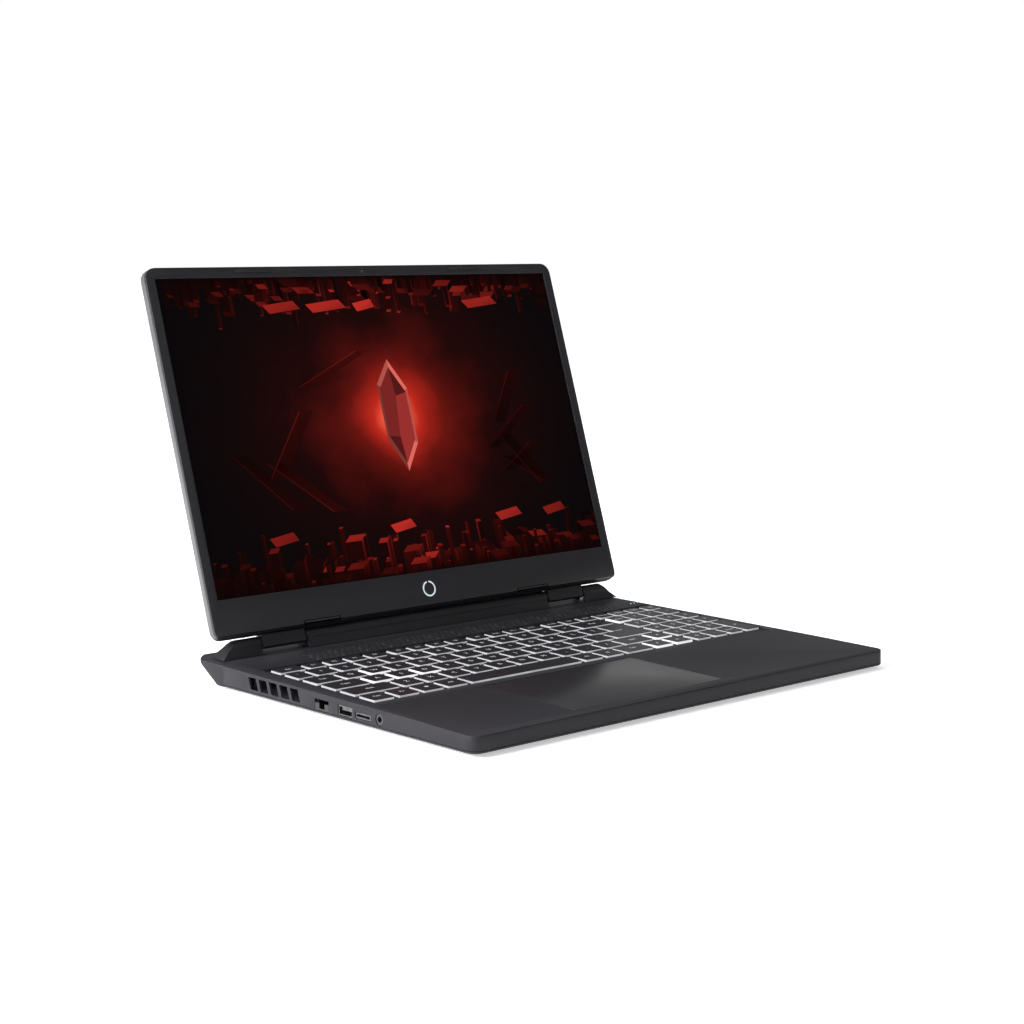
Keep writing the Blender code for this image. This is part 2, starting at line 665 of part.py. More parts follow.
def camera_height():
    return LID_TOP - 0.0042


def make_lid_insides():
    back = BEZEL_FACE - BEZEL_PLATE - GAP
    side = SCREEN_WIDTH / 2 + PANEL_BORDER
    bm = bmesh.new()
    box(bm, (-side, SCREEN_BOTTOM - 0.004, back - PANEL_THICKNESS), (side, SCREEN_TOP + 0.0010, back))
    piece(bm, "display_panel", GLASS, LID_FRAME)

    bm = bmesh.new()
    low = SCREEN_TOP + 0.0016
    box(bm, (-0.030, low, back - PANEL_THICKNESS), (0.030, LID_TOP - 0.0024, back))
    camera = piece(bm, "camera_module", BOARD, LID_FRAME)
    lens = bmesh.new()
    rod(lens, "Z", back - 0.0005, BEZEL_FACE - GAP, (0, camera_height()), LENS_RADIUS, 16)
    join(camera, tool(lens, "camera_lens", LID_FRAME))

    for side, label in ((-1, "left"), (1, "right")):
        bm = bmesh.new()
        reach = Vector((BUMPER_LENGTH / 2, BUMPER_WIDTH / 2))
        centre = Vector((side * BUMPER_CENTRE, bumper_height()))
        box(bm, (*(centre - reach), BEZEL_FACE - GAP), (*(centre + reach), BEZEL_FACE + BUMPER_PROUD))
        piece(bm, "lid_bumper_" + label, RUBBER, LID_FRAME)


# ---------------------------------------------------------------- keyboard


def cells(left, widths):
    """Left and right sides of key cells laid side by side."""
    sides = []
    for width in widths:
        sides.append((left, left + width))
        left += width
    return sides


MAIN_WIDTH = MAIN_UNITS * KEY_PITCH
KEYS_LEFT = KEYBOARD_CENTRE - (MAIN_WIDTH + NUMPAD_SPACE + 4 * NUMPAD_PITCH) / 2
NUMPAD = cells(KEYS_LEFT + MAIN_WIDTH + NUMPAD_SPACE, [NUMPAD_PITCH] * 4)


def main_cells(units, last=True):
    """Cells of a main row from widths in key pitches. The last cell takes what is left of the row."""
    widths = [unit * KEY_PITCH for unit in units]
    if last:
        widths.append(MAIN_WIDTH - sum(widths))
    return cells(KEYS_LEFT, widths)


def row_sides(row):
    """Rear and front sides, as distances from the hinge, of a row's key tops. Row 0 is the function row."""
    front = KEYS_REAR + FUNCTION_DEPTH + row * ROW_PITCH
    depth = FUNCTION_DEPTH if row == 0 else ROW_PITCH - ROW_SPACE
    return front - depth, front


def function_cells():
    """Fifteen function keys in groups of four, four, four and three, between Esc and the number pad."""
    room = MAIN_WIDTH + NUMPAD_SPACE - ESCAPE_WIDTH - 3 * FUNCTION_GROUP_SPACE
    left = KEYS_LEFT + ESCAPE_WIDTH
    found = []
    for count in (4, 4, 4, 3):
        found += cells(left, [room / 15] * count)
        left = found[-1][1] + FUNCTION_GROUP_SPACE
    return found


BOTTOM_CELLS = main_cells([1.0] * 4 + [5.07, 1.0, 1.0, 1.45, 1.0])
SPACE_CELL = BOTTOM_CELLS[4]
ROWS = {
    "function_keys": (0, function_cells() + NUMPAD[:3]),
    "number_keys": (1, main_cells([0.8] + [1.0] * 12)),
    "upper_letter_keys": (2, main_cells([1.24] + [1.0] * 12, last=False)),
    "home_letter_keys": (3, main_cells([1.57] + [1.0] * 11, last=False)),
    "lower_letter_keys": (4, main_cells([2.0] + [1.0] * 10 + [1.53])),
    "bottom_left_keys": (5, BOTTOM_CELLS[:4]),
    "bottom_right_keys": (5, BOTTOM_CELLS[5:]),
}


def key_top(cell, rear, front):
    """Low and high corners, in plan, of the key top in a cell."""
    return (cell[0] + KEY_SPACE / 2, -front), (cell[1] - KEY_SPACE / 2, -rear)


def single_keys():
    """Keys that move by themselves: name to a list of top rectangles, the second joined to the first."""
    upper = main_cells([1.24] + [1.0] * 12)[-1]
    lower = main_cells([1.57] + [1.0] * 11)[-1]
    home_rear = row_sides(3)[0]
    return {
        "escape_key": [key_top((KEYS_LEFT, KEYS_LEFT + ESCAPE_WIDTH), *row_sides(0))],
        "power_button": [key_top(NUMPAD[3], *row_sides(0))],
        "space_bar": [key_top(SPACE_CELL, *row_sides(5))],
        "enter_key": [key_top(lower, *row_sides(3)), key_top(upper, row_sides(2)[0], home_rear + 0.001)],
    }


def numpad_tops():
    """The number pad's block: three rows of four keys, two of three, and its tall Enter key."""
    tops = [key_top(cell, *row_sides(row)) for row in (1, 2, 3) for cell in NUMPAD]
    tops += [key_top(cell, *row_sides(row)) for row in (4, 5) for cell in NUMPAD[:3]]
    return tops + [key_top(NUMPAD[3], row_sides(4)[0], row_sides(5)[1])]


def key_groups():
    """Keys that move together on a link: name to top rectangles, and the link's low and high corners."""
    groups = {}
    for name, (row, row_cells) in ROWS.items():
        rear, front = row_sides(row)
        tops = [key_top(cell, rear, front) for cell in row_cells]
        inset = (front - rear) / 4
        low = (tops[0][0][0] + LINK_MARGIN, -front + inset)
        groups[name] = tops, low, (tops[-1][1][0] - LINK_MARGIN, -rear - inset)
    tops = numpad_tops()
    low = (tops[0][0][0] + LINK_MARGIN, -row_sides(5)[1] + LINK_MARGIN)
    high = (stem_limit() + STEM_WIDTH / 2, -row_sides(1)[0] - LINK_MARGIN)
    groups["numpad_keys"] = tops, low, high
    return groups


def stem_limit():
    """How far to the side a stem's middle can be and still pass the sockets."""
    return HALF - PORT_SETBACK - PORT_DEPTH - 2 * GAP - STEM_WIDTH / 2


def well_sides():
    """Left and right, then rear and front, of the keyboard well on the deck."""
    left = KEYS_LEFT + KEY_SPACE / 2 - WELL_SIDE
    right = NUMPAD[3][1] - KEY_SPACE / 2 + WELL_SIDE - 0.0030
    return (left, right), (KEYS_REAR - WELL_REAR, row_sides(5)[1] + WELL_FRONT)


def make_key_group(name, tops, link_low, link_high):
    """Key caps, each on a stem, joined under the keyboard frame by a link."""
    link = bmesh.new()
    box(link, (*link_low, -LINK_TOP - LINK_THICKNESS), (*link_high, -LINK_TOP))
    keys = piece(link, name, KEYCAP, DECK_FRAME)
    stems = bmesh.new()
    caps = bmesh.new()
    half = STEM_WIDTH / 2
    for low, high in tops:
        flared_box(caps, (*low, -CAP_HEIGHT), (*high, 0.0), KEY_FLARE)
        x = (low[0] + high[0]) / 2
        x = math.copysign(min(abs(x), stem_limit()), x)
        y = (low[1] + high[1]) / 2
        box(stems, (x - half, y - half, -LINK_TOP - LINK_THICKNESS / 2), (x + half, y + half, -CAP_HEIGHT / 2))
    join(keys, tool(stems, name + "_stems", DECK_FRAME))
    join(keys, tool(caps, name + "_caps", DECK_FRAME))


def make_single_key(name, tops):
    bm = bmesh.new()
    flared_box(bm, (*tops[0][0], -CAP_HEIGHT), (*tops[0][1], 0.0), KEY_FLARE)
    key = piece(bm, name, KEYCAP, DECK_FRAME)
    for low, high in tops[1:]:
        more = bmesh.new()
        flared_box(more, (*low, -CAP_HEIGHT), (*high, 0.0), KEY_FLARE)
        join(key, tool(more, name + "_arm", DECK_FRAME))


def make_keyboard():
    groups = key_groups()
    for name, group in groups.items():
        make_key_group(name, *group)
    singles = single_keys()
    for name, tops in singles.items():
        make_single_key(name, tops)

    (left, right), (rear, front) = well_sides()
    bm = bmesh.new()
    low = (left + GAP, -front + GAP, -FRAME_TOP - FRAME_THICKNESS)
    box(bm, low, (right - GAP, -rear - GAP, -FRAME_TOP))
    frame = piece(bm, "keyboard_frame", SHELL, DECK_FRAME)
    tops = [top for group in groups.values() for top in group[0]]
    tops += [top for name, tops_of in singles.items() if name != "enter_key" for top in tops_of]
    holes = bmesh.new()
    for low, high in tops:
        hole_box(holes, low, high)
    cut(frame, tool(holes, "key_holes", DECK_FRAME))
    for number, (low, high) in enumerate(singles["enter_key"]):
        hole = bmesh.new()
        hole_box(hole, low, high)
        cut(frame, tool(hole, f"enter_hole_{number}", DECK_FRAME))

    bm = bmesh.new()
    low = (left + PLATE_INSET, -front + WELL_FRONT / 2, -PLATE_TOP - PLATE_THICKNESS)
    box(bm, low, (right - PLATE_INSET, -rear - WELL_REAR / 2, -PLATE_TOP))
    piece(bm, "keyboard_plate", STEEL, DECK_FRAME)


def hole_box(bm, low, high):
    """A key's hole in the keyboard frame, with room round the key's foot."""
    reach = KEY_FLARE + HOLE_ROOM
    box(bm, (low[0] - reach, low[1] - reach, -CUT_REACH), (high[0] + reach, high[1] + reach, 0.0))


# ---------------------------------------------------------------- touchpad and ports


def touchpad_middle():
    front = BASE_FRONT - TOUCHPAD_FRONT
    return Vector((TOUCHPAD_CENTRE, -front + TOUCHPAD_DEPTH / 2))


def make_touchpad():
    """Clicking touchpad, hung at its rear edge."""
    middle = touchpad_middle()
    rear = middle.y + TOUCHPAD_DEPTH / 2
    pivot = empty("touchpad_pivot", (middle.x, rear, -TOUCHPAD_THICKNESS / 2), parent=DECK_FRAME)
    top = TOUCHPAD_THICKNESS / 2 - TOUCHPAD_RECESS
    bm = bmesh.new()
    box(bm, (-TOUCHPAD_WIDTH / 2, -TOUCHPAD_DEPTH, top - TOUCHPAD_THICKNESS), (TOUCHPAD_WIDTH / 2, 0.0, top))
    round_upright(bm, 0.0015, segments=2)
    piece(bm, "touchpad", KEYCAP, pivot)


def make_socket(name, side, place, height, width, mouth, rim, tongue):
    """A socket's shell, open at the side wall, with a contact tongue if it has one."""
    outer = side * (HALF - PORT_SETBACK)
    inner = side * (HALF - PORT_SETBACK - PORT_DEPTH)
    ends = sorted((outer, inner))
    bm = bmesh.new()
    reach_y, reach_z = width / 2 + rim, mouth / 2 + rim
    box(bm, (ends[0], -place - reach_y, height - reach_z), (ends[1], -place + reach_y, height + reach_z))
    socket = piece(bm, name, SOCKET)
    hollow = bmesh.new()
    ends = sorted((side * (HALF + 0.002), inner + side * 0.0012))
    box(
        hollow,
        (ends[0], -place - width / 2, height - mouth / 2),
        (ends[1], -place + width / 2, height + mouth / 2),
    )
    cut(socket, tool(hollow, name + "_hollow"))
    if tongue:
        blade = bmesh.new()
        ends = sorted((outer - side * 0.0012, inner + side * 0.0006))
        lift = 0.0 if mouth < 0.0040 else tongue / 2
        box(
            blade,
            (ends[0], -place - width / 2 + 0.0012, height + lift - tongue / 2),
            (ends[1], -place + width / 2 - 0.0012, height + lift + tongue / 2),
        )
        join(socket, tool(blade, name + "_tongue"))


def make_round_socket(name, side, place, height, outer, bore, pin):
    ends = sorted((side * (HALF - PORT_SETBACK), side * (HALF - PORT_SETBACK - PORT_DEPTH)))
    bm = bmesh.new()
    rod(bm, "X", *ends, (-place, height), outer)
    socket = piece(bm, name, KEYCAP)
    hollow = bmesh.new()
    floor = side * (HALF - PORT_SETBACK - PORT_DEPTH + 0.0015)
    rod(hollow, "X", *sorted((floor, side * (HALF + 0.001))), (-place, height), bore)
    cut(socket, tool(hollow, name + "_bore"))
    if pin:
        contact = bmesh.new()
        start = floor - side * 0.0008
        rod(contact, "X", *sorted((start, side * (HALF - 0.003))), (-place, height), pin, 12)
        join(socket, tool(contact, name + "_pin"))


def make_ethernet():
    """Network socket and its drop jaw, which swings out on a pin at its foot."""
    reach = ETHERNET_WIDTH / 2
    front = -HALF + WALL + 0.0004
    bm = bmesh.new()
    low = WALL_FOOT
    high = ETHERNET_HIGH + ETHERNET_RIM
    box(
        bm,
        (front, -ETHERNET_AT - reach - ETHERNET_RIM, low),
        (front + PORT_DEPTH, -ETHERNET_AT + reach + ETHERNET_RIM, high),
    )
    jack = piece(bm, "ethernet_jack", KEYCAP)
    hollow = bmesh.new()
    box(
        hollow,
        (front - 0.001, -ETHERNET_AT - reach, ETHERNET_LOW),
        (front + PORT_DEPTH - 0.0012, -ETHERNET_AT + reach, ETHERNET_HIGH),
    )
    cut(jack, tool(hollow, "ethernet_hollow"))

    half = reach + ETHERNET_RIM
    bm = bmesh.new()
    box(bm, (-JAW_THICKNESS / 2, -half, -0.0006), (JAW_THICKNESS / 2, half, JAW_HEIGHT - 0.0006))
    jaw = piece(bm, "ethernet_jaw", KEYCAP)
    jaw.location = (-HALF + 0.0001 + JAW_THICKNESS / 2, -ETHERNET_AT, WALL_FOOT + 0.0007)
    notch = bmesh.new()
    box(notch, (-0.01, -0.0027, 0.0006), (0.01, 0.0027, 0.01))
    notch_tool = tool(notch, "jaw_notch")
    notch_tool.location = jaw.location
    cut(jaw, notch_tool)


# ---------------------------------------------------------------- inside the base


def slab(name, material, low, high):
    bm = bmesh.new()
    box(bm, low, high)
    return piece(bm, name, material)


def make_insides():
    floor = INNER_FLOOR
    board_edge = FAN_CENTRE.x - FAN_RADIUS - 0.0055
    slab("mainboard", BOARD, (-board_edge, -0.1500, floor), (board_edge, -0.0240, MAINBOARD_TOP))
    above = MAINBOARD_TOP + GAP
    slab("ssd", BOARD, (0.0200, -0.1480, above), (0.0420, -0.1080, above + 0.0018))
    slab("memory_module", BOARD, (-0.0600, -0.1480, above), (0.0080, -0.1180, above + 0.0018))
    front = -BASE_FRONT + 0.0080
    slab("battery", FOIL, (-0.1050, front, floor), (0.1050, front + 0.0780, floor + 0.0052))
    for side, label in ((-1, "left"), (1, "right")):
        ends = sorted((side * (HALF - 0.0700), side * (HALF - 0.0250)))
        slab(f"speaker_{label}", KEYCAP, (ends[0], front, floor), (ends[1], front + 0.0500, floor + 0.0050))
        make_fan(side, label, floor)
        make_heatsink(side, label, floor)
    make_heat_pipe(above)


def make_fan(side, label, floor):
    """Blower housing with an intake below and an outlet at the rear, and its bladed rotor."""
    centre = Vector((side * FAN_CENTRE.x, FAN_CENTRE.y))
    reach = FAN_RADIUS + FAN_BORDER
    top = floor + FAN_HEIGHT
    bm = bmesh.new()
    box(bm, (centre.x - reach, centre.y - reach, floor), (centre.x + reach, centre.y + reach, top))
    housing = piece(bm, f"fan_housing_{label}", KEYCAP)
    room = bmesh.new()
    rod(room, "Z", floor + 0.0007, top - 0.0007, centre, FAN_RADIUS, 32)
    cut(housing, tool(room, f"fan_room_{label}"))
    ways = bmesh.new()
    rod(ways, "Z", floor - 0.001, floor + 0.001, centre, 0.6 * FAN_RADIUS)
    cut(housing, tool(ways, f"fan_intake_{label}"))
    outlet = bmesh.new()
    width = FAN_RADIUS - 0.003
    box(
        outlet,
        (centre.x - width, centre.y + 0.006, floor + 0.0010),
        (centre.x + width, centre.y + reach + 0.001, top - 0.0010),
    )
    cut(housing, tool(outlet, f"fan_outlet_{label}"))

    low, high = floor + 0.0010, top - 0.0010
    bm = bmesh.new()
    rod(bm, "Z", low, high, (0, 0), 0.0095)
    rotor = piece(bm, f"fan_rotor_{label}", KEYCAP)
    rotor.location = (centre.x, centre.y, 0.0)
    blades = bmesh.new()
    for step in range(BLADE_COUNT):
        verts = box(blades, (0.0085, -0.0003, low + 0.0003), (FAN_RADIUS - 0.0022, 0.0003, high - 0.0003))
        turn = Matrix.Rotation(2 * math.pi * step / BLADE_COUNT, 4, "Z")
        bmesh.ops.transform(blades, matrix=turn, verts=verts)
    blade_tool = tool(blades, f"fan_blades_{label}")
    blade_tool.location = rotor.location
    join(rotor, blade_tool)


def make_heatsink(side, label, floor):
    """Finned block between a fan's outlet and the slots in the rear cover."""
    start = -HEATSINK_REAR - HEATSINK_DEPTH
    end = -HEATSINK_REAR
    width = FAN_RADIUS - 0.003
    ends = (side * FAN_CENTRE.x - width, side * FAN_CENTRE.x + width)
    sink = slab(f"heatsink_{label}", COPPER, (ends[0], start, floor), (ends[1], end, floor + FAN_HEIGHT))
    slots = bmesh.new()
    count = 9
    pitch = 2 * width / (count + 1)
    for step in range(1, count + 1):
        x = ends[0] + step * pitch
        box(slots, (x - 0.0015, start - 0.001, floor + 0.001), (x + 0.0015, end + 0.001, floor + 0.1))
    cut(sink, tool(slots, f"heatsink_slots_{label}"))


def make_heat_pipe(above):
    """Copper pipe from the processor out to both finned blocks."""
    end_x = FAN_CENTRE.x - FAN_RADIUS + 0.003 - GAP
    end_y = -HEATSINK_REAR - HEATSINK_DEPTH / 2 - HEATSINK_GAP / 2
    points = []
    steps = 24
    for step in range(steps + 1):
        x = end_x * (2 * step / steps - 1)
        points.append((x, end_y - 0.0450 * math.cos(math.pi * x / (2 * end_x)) ** 2, above + PIPE_RADIUS + GAP))
    curve = bpy.data.curves.new("heat_pipe", "CURVE")
    curve.dimensions = "3D"
    curve.bevel_depth = PIPE_RADIUS
    curve.bevel_resolution = 2
    curve.use_fill_caps = True
    spline = curve.splines.new("POLY")
    spline.points.add(steps)
    for point, place in zip(spline.points, points):
        point.co = (*place, 1.0)
    pipe = bpy.data.objects.new("heat_pipe", curve)
    curve.materials.append(COPPER)
    LAPTOP.objects.link(pipe)


# ---------------------------------------------------------------- feet and screws


def screw_places():
    """The four corner screws, as places in plan."""
    x = HALF - 0.0100
    return [(-x, -BASE_FRONT + 0.0150), (x, -BASE_FRONT + 0.0150), (-x, -0.0260), (x, -0.0350)]


def make_feet():
    top = UNDERSIDE - GAP
    front = -BASE_FRONT + 0.0130
    for side, label in ((-1, "left"), (1, "right")):
        middle = side * (HALF - 0.0550)
        bm = bmesh.new()
        box(bm, (middle - FOOT_LENGTH / 2, front, 0.0), (middle + FOOT_LENGTH / 2, front + FOOT_DEPTH, top))
        round_upright(bm, 0.0030, segments=3)
        piece(bm, f"foot_front_{label}", RUBBER)
    bm = bmesh.new()
    half = REAR_FOOT_DEPTH / 2
    box(bm, (-REAR_FOOT_LENGTH / 2, -half, 0.0), (REAR_FOOT_LENGTH / 2, half, 0.010))
    round_upright(bm, 0.0030, segments=3)
    slope_start = Vector((0, -UNDERCUT, UNDERSIDE))
    along = (Vector((0, BASE_REAR, deck_z(BASE_REAR) - REAR_LIP)) - slope_start).normalized()
    normal = Vector((0, -along.z, along.y))
    slice_off(bm, slope_start - GAP * normal, normal)
    piece(bm, "foot_rear", RUBBER)


def make_screws():
    names = ("front_left", "front_right", "rear_left", "rear_right")
    for label, (x, y) in zip(names, screw_places()):
        bm = bmesh.new()
        head = UNDERSIDE + 0.0001
        rod(bm, "Z", head, head + 0.0005, (x, y), SCREW_HEAD_RADIUS, 16)
        screw = piece(bm, "bottom_screw_" + label, STEEL)
        shank = bmesh.new()
        rod(shank, "Z", head + 0.0002, head + SCREW_LENGTH, (x, y), SCREW_RADIUS, 12)
        join(screw, tool(shank, "screw_shank_" + label))


make_top_cover()
make_rear_cover()
make_bottom_cover()
make_hinge_covers()
make_hinges()
make_lid_cover()
make_bezel()
make_lid_insides()
make_keyboard()
make_touchpad()
for socket_name, values in SOCKETS.items():
    make_socket(socket_name, *values)
for socket_name, values in ROUND_SOCKETS.items():
    make_round_socket(socket_name, *values)
make_ethernet()
make_insides()
make_feet()
make_screws()
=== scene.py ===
# %% [markdown]
# # A 16-inch laptop computer
#
# The working model of this laptop, with its hinge, its keys and its sockets, already exists as a set of
# solids in one frame. This script dresses it: every piece gets its real finish, and the pieces that a hand
# or an eye meets first, such as the keys, the display and the ports, are modelled again in fine detail.
#
# We load the working model first, because every new piece takes its place from it.

# %% Load the working model
import json
import math
import random

import bmesh
import bpy
from mathutils import Matrix, Vector


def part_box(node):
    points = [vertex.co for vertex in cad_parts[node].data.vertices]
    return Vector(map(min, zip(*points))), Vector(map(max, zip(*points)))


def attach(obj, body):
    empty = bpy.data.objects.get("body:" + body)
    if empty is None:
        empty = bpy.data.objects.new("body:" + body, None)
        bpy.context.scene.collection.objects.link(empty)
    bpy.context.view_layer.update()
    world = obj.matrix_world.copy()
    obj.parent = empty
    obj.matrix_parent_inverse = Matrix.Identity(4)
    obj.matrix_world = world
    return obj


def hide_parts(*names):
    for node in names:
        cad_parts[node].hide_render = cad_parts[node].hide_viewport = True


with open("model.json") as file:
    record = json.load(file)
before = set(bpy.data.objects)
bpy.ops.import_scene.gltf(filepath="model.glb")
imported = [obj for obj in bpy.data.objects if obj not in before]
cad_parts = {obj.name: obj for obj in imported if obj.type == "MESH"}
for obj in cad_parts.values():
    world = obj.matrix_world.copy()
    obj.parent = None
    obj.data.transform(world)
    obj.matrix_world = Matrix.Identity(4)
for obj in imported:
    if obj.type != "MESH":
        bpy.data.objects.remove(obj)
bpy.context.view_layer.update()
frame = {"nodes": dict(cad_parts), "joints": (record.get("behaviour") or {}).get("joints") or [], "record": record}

nodes = frame["nodes"]
record = frame["record"]
joints = {joint["name"]: joint for joint in frame["joints"]}
body_of = {node: body for body, members in record["behaviour"]["bodies"].items() for node in members}

# %% [markdown]
# ## Two slanting frames
#
# A laptop is easiest to detail in its own directions. The deck slopes down towards the user, and the open
# lid leans back. We could type those angles in again, but the working model knows them: a key slides
# straight into the deck, so its joint gives the deck's normal, and the display's largest face gives the
# lid's. Two matrices then let us say "3 mm along the deck" or "40 mm up the lid".

# %% Frames of the deck and the lid
into_deck = Vector(joints["space_bar_press"]["axis"])
deck_level = max(vertex.co.dot(-into_deck) for vertex in nodes["space_bar"].data.vertices)
deck_slope = math.asin(into_deck.y)
DECK = Matrix.Translation((0, 0, -deck_level / into_deck.z)) @ Matrix.Rotation(deck_slope, 4, "X")

screen_face = max(nodes["display_panel"].data.polygons, key=lambda face: face.area)
facing = screen_face.normal if screen_face.normal.y < 0 else -screen_face.normal
hinge = Vector(joints["lid_hinge"]["pos_m"])
LID = Matrix.Translation(hinge) @ Matrix.Rotation(math.atan2(-facing.y, facing.z), 4, "X")


def box_in(node, space):
    """Lowest and highest corner of a solid, measured in the deck's or the lid's frame."""
    back = space.inverted()
    points = [back @ vertex.co for vertex in nodes[node].data.vertices]
    low = Vector([min(point[axis] for point in points) for axis in range(3)])
    high = Vector([max(point[axis] for point in points) for axis in range(3)])
    return low, high


print("deck slope", round(math.degrees(deck_slope), 2), "lid box", box_in("lid_cover", LID))

# %% [markdown]
# ## Shader maths that reads as maths
#
# A finish is a small formula over the surface: a little lighter here, a little rougher there. Blender
# writes such formulas as networks of nodes, which are tedious to wire by hand. One small class wraps a
# node's output, so that `0.4 + 0.1 * grain` adds the Math nodes for us, and one method adds any other node.


# %% A field over a surface
class Field:
    """A number, colour or vector that varies over a surface."""

    def __init__(self, socket):
        self.socket = socket

    def node(self, kind, settings=None, inputs=None, output=0):
        """Adds a node with its settings first, then its input values or links."""
        tree = self.socket.id_data
        made = tree.nodes.new(kind)
        for name, value in (settings or {}).items():
            if name == "stops":
                set_stops(made.color_ramp, value)
            else:
                setattr(made, name, value)
        for name, value in (inputs or {}).items():
            if isinstance(value, Field):
                tree.links.new(value.socket, made.inputs[name])
            else:
                made.inputs[name].default_value = value
        return Field(made.outputs[output])

    def maths(self, operation, *values):
        return self.node("ShaderNodeMath", {"operation": operation}, dict(enumerate(values)))

    def __add__(self, other):
        return self.maths("ADD", self, other)

    def __sub__(self, other):
        return self.maths("SUBTRACT", self, other)

    def __rsub__(self, other):
        return self.maths("SUBTRACT", other, self)

    def __mul__(self, other):
        return self.maths("MULTIPLY", self, other)

    __radd__ = __add__
    __rmul__ = __mul__

    def feeds(self, shader, name):
        self.socket.id_data.links.new(self.socket, shader.inputs[name])


def set_stops(ramp, stops):
    """Places a colour ramp's stops, each a position and a colour."""
    while len(ramp.elements) < len(stops):
        ramp.elements.new(0.5)
    for element, (position, colour) in zip(ramp.elements, stops):
        element.position = position
        element.color = (*colour, 1.0)


def grey(level):
    return (level, level, level)


def new_finish(name, roughness, metallic=0.0):
    """A material, its shader, and the place on the object as a field."""
    made = bpy.data.materials.new(name)
    made.use_nodes = True
    shader = made.node_tree.nodes["Principled BSDF"]
    shader.inputs["Roughness"].default_value = roughness
    shader.inputs["Metallic"].default_value = metallic
    place = Field(made.node_tree.nodes.new("ShaderNodeTexCoord").outputs["Object"])
    return made, shader, place


def noise(place, scale, detail=3.0, stretch=(1.0, 1.0, 1.0)):
    """Cloudy noise with a number of features to the metre, stretched along an axis if asked."""
    if stretch != (1.0, 1.0, 1.0):
        place = place.node("ShaderNodeMapping", {}, {"Vector": place, "Scale": stretch})
    return place.node("ShaderNodeTexNoise", {}, {"Vector": place, "Scale": scale, "Detail": detail})


def tinted(field, dark, light):
    """A colour between two, by a field from 0 to 1."""
    return field.node("ShaderNodeValToRGB", {"stops": [(0.3, dark), (0.7, light)]}, {"Fac": field})


def bumped(field, shader, strength, depth):
    """Raises the surface by a field, up to a depth in metres."""
    settings = {"Height": field, "Strength": strength, "Distance": depth}
    field.node("ShaderNodeBump", {}, settings).feeds(shader, "Normal")


print("shader helpers ready")

# %% [markdown]
# ## Moulded plastic
#
# Most of a laptop is moulded plastic. It is never one flat colour: the mould is spark-etched, which gives a
# grain of about a tenth of a millimetre, and hands leave broad smoother patches. We make one recipe from
# two layers of noise (a grain, and a cloud that also sets the smoother patches) and change its colour and
# numbers for the shell, the hinge covers, the keys and the hidden parts. Only a formula is needed, so no
# picture has to be stored.


# %% Plastics
def moulded(name, colour, roughness, grain=2600.0, depth=0.00002, patchy=0.10, specular=0.5):
    made, shader, place = new_finish(name, roughness)
    etched = noise(place, grain, 2.0)
    cloud = noise(place, 34.0, 5.0)
    dark = [0.86 * part for part in colour]
    light = [1.14 * part for part in colour]
    tinted(cloud * 0.6 + etched * 0.4, dark, light).feeds(shader, "Base Color")
    (roughness - patchy / 2 + patchy * cloud + 0.08 * (etched - 0.5)).feeds(shader, "Roughness")
    bumped(etched, shader, 0.35, depth)
    shader.inputs["Specular IOR Level"].default_value = specular
    return made


shell_plastic = moulded("shell plastic", (0.0150, 0.0147, 0.0182), 0.54, specular=0.20)
lid_plastic = moulded("lid plastic", (0.0125, 0.0122, 0.0150), 0.44, specular=0.28)
cover_plastic = moulded("hinge cover plastic", (0.0100, 0.0098, 0.0120), 0.46, grain=3400.0, specular=0.25)
key_plastic = moulded("key top plastic", (0.0120, 0.0118, 0.0140), 0.36, grain=4200.0, depth=0.00001)
pad_plastic = moulded(
    "touchpad film", (0.0125, 0.0123, 0.0150), 0.30, grain=5200.0, depth=0.000006, specular=0.6
)
dash_plastic = moulded("raised dash plastic", (0.0300, 0.0296, 0.0330), 0.36, grain=4200.0)
# Paler and smoother than the shell: smoother as rubbed edges are, and paler as a painted highlight.
rubbed_rim_and_painted_highlight = moulded("rubbed shell edge with painted highlight", (0.0620, 0.0615, 0.0670), 0.32, specular=0.6)
# Near black, used only as painted shade: in the gap under the lid and in the recessed strips on the bezel.
painted_shade_black = moulded("black of painted shade", (0.0012, 0.0012, 0.0014), 0.70, specular=0.05)
black_plastic = moulded("black moulding", (0.0080, 0.0080, 0.0090), 0.45)
rubber = moulded("rubber", (0.0120, 0.0120, 0.0125), 0.82, grain=1400.0, depth=0.00006, specular=0.3)
print("plastics:", [made.name for made in bpy.data.materials if "plastic" in made.name])

# %% [markdown]
# ## Metals, boards and foil
#
# The sockets are plated steel, drawn in one direction, so their noise is stretched into fine scratches.
# Copper pipes show tarnish in patches. A circuit board is a green lacquer over a grid of tracks, for which
# a brick pattern does well, since it is seen only through slots. All of these use the same few fields.


# %% Metals and inner finishes
def drawn_metal(name, dark, light, roughness, stretch=(1.0, 40.0, 40.0)):
    made, shader, place = new_finish(name, roughness, 1.0)
    scratches = noise(place, 90.0, 4.0, stretch)
    tarnish = noise(place, 160.0)
    tinted(tarnish, dark, light).feeds(shader, "Base Color")
    (roughness - 0.08 + 0.16 * scratches).feeds(shader, "Roughness")
    bumped(scratches, shader, 0.25, 0.00002)
    return made


def circuit_board():
    made, shader, place = new_finish("board lacquer", 0.42)
    tracks = place.node(
        "ShaderNodeTexBrick",
        {},
        {
            "Vector": place,
            "Scale": 260.0,
            "Color1": (0.006, 0.050, 0.026, 1.0),
            "Color2": (0.009, 0.065, 0.034, 1.0),
            "Mortar": (0.016, 0.105, 0.056, 1.0),
        },
    )
    tracks.feeds(shader, "Base Color")
    bumped(noise(place, 900.0), shader, 0.3, 0.00003)
    return made


def battery_foil():
    made, shader, place = new_finish("battery wrap", 0.35)
    creases = noise(place, 70.0, 6.0)
    tinted(creases, (0.016, 0.016, 0.018), (0.034, 0.034, 0.038)).feeds(shader, "Base Color")
    bumped(creases, shader, 0.4, 0.0002)
    return made


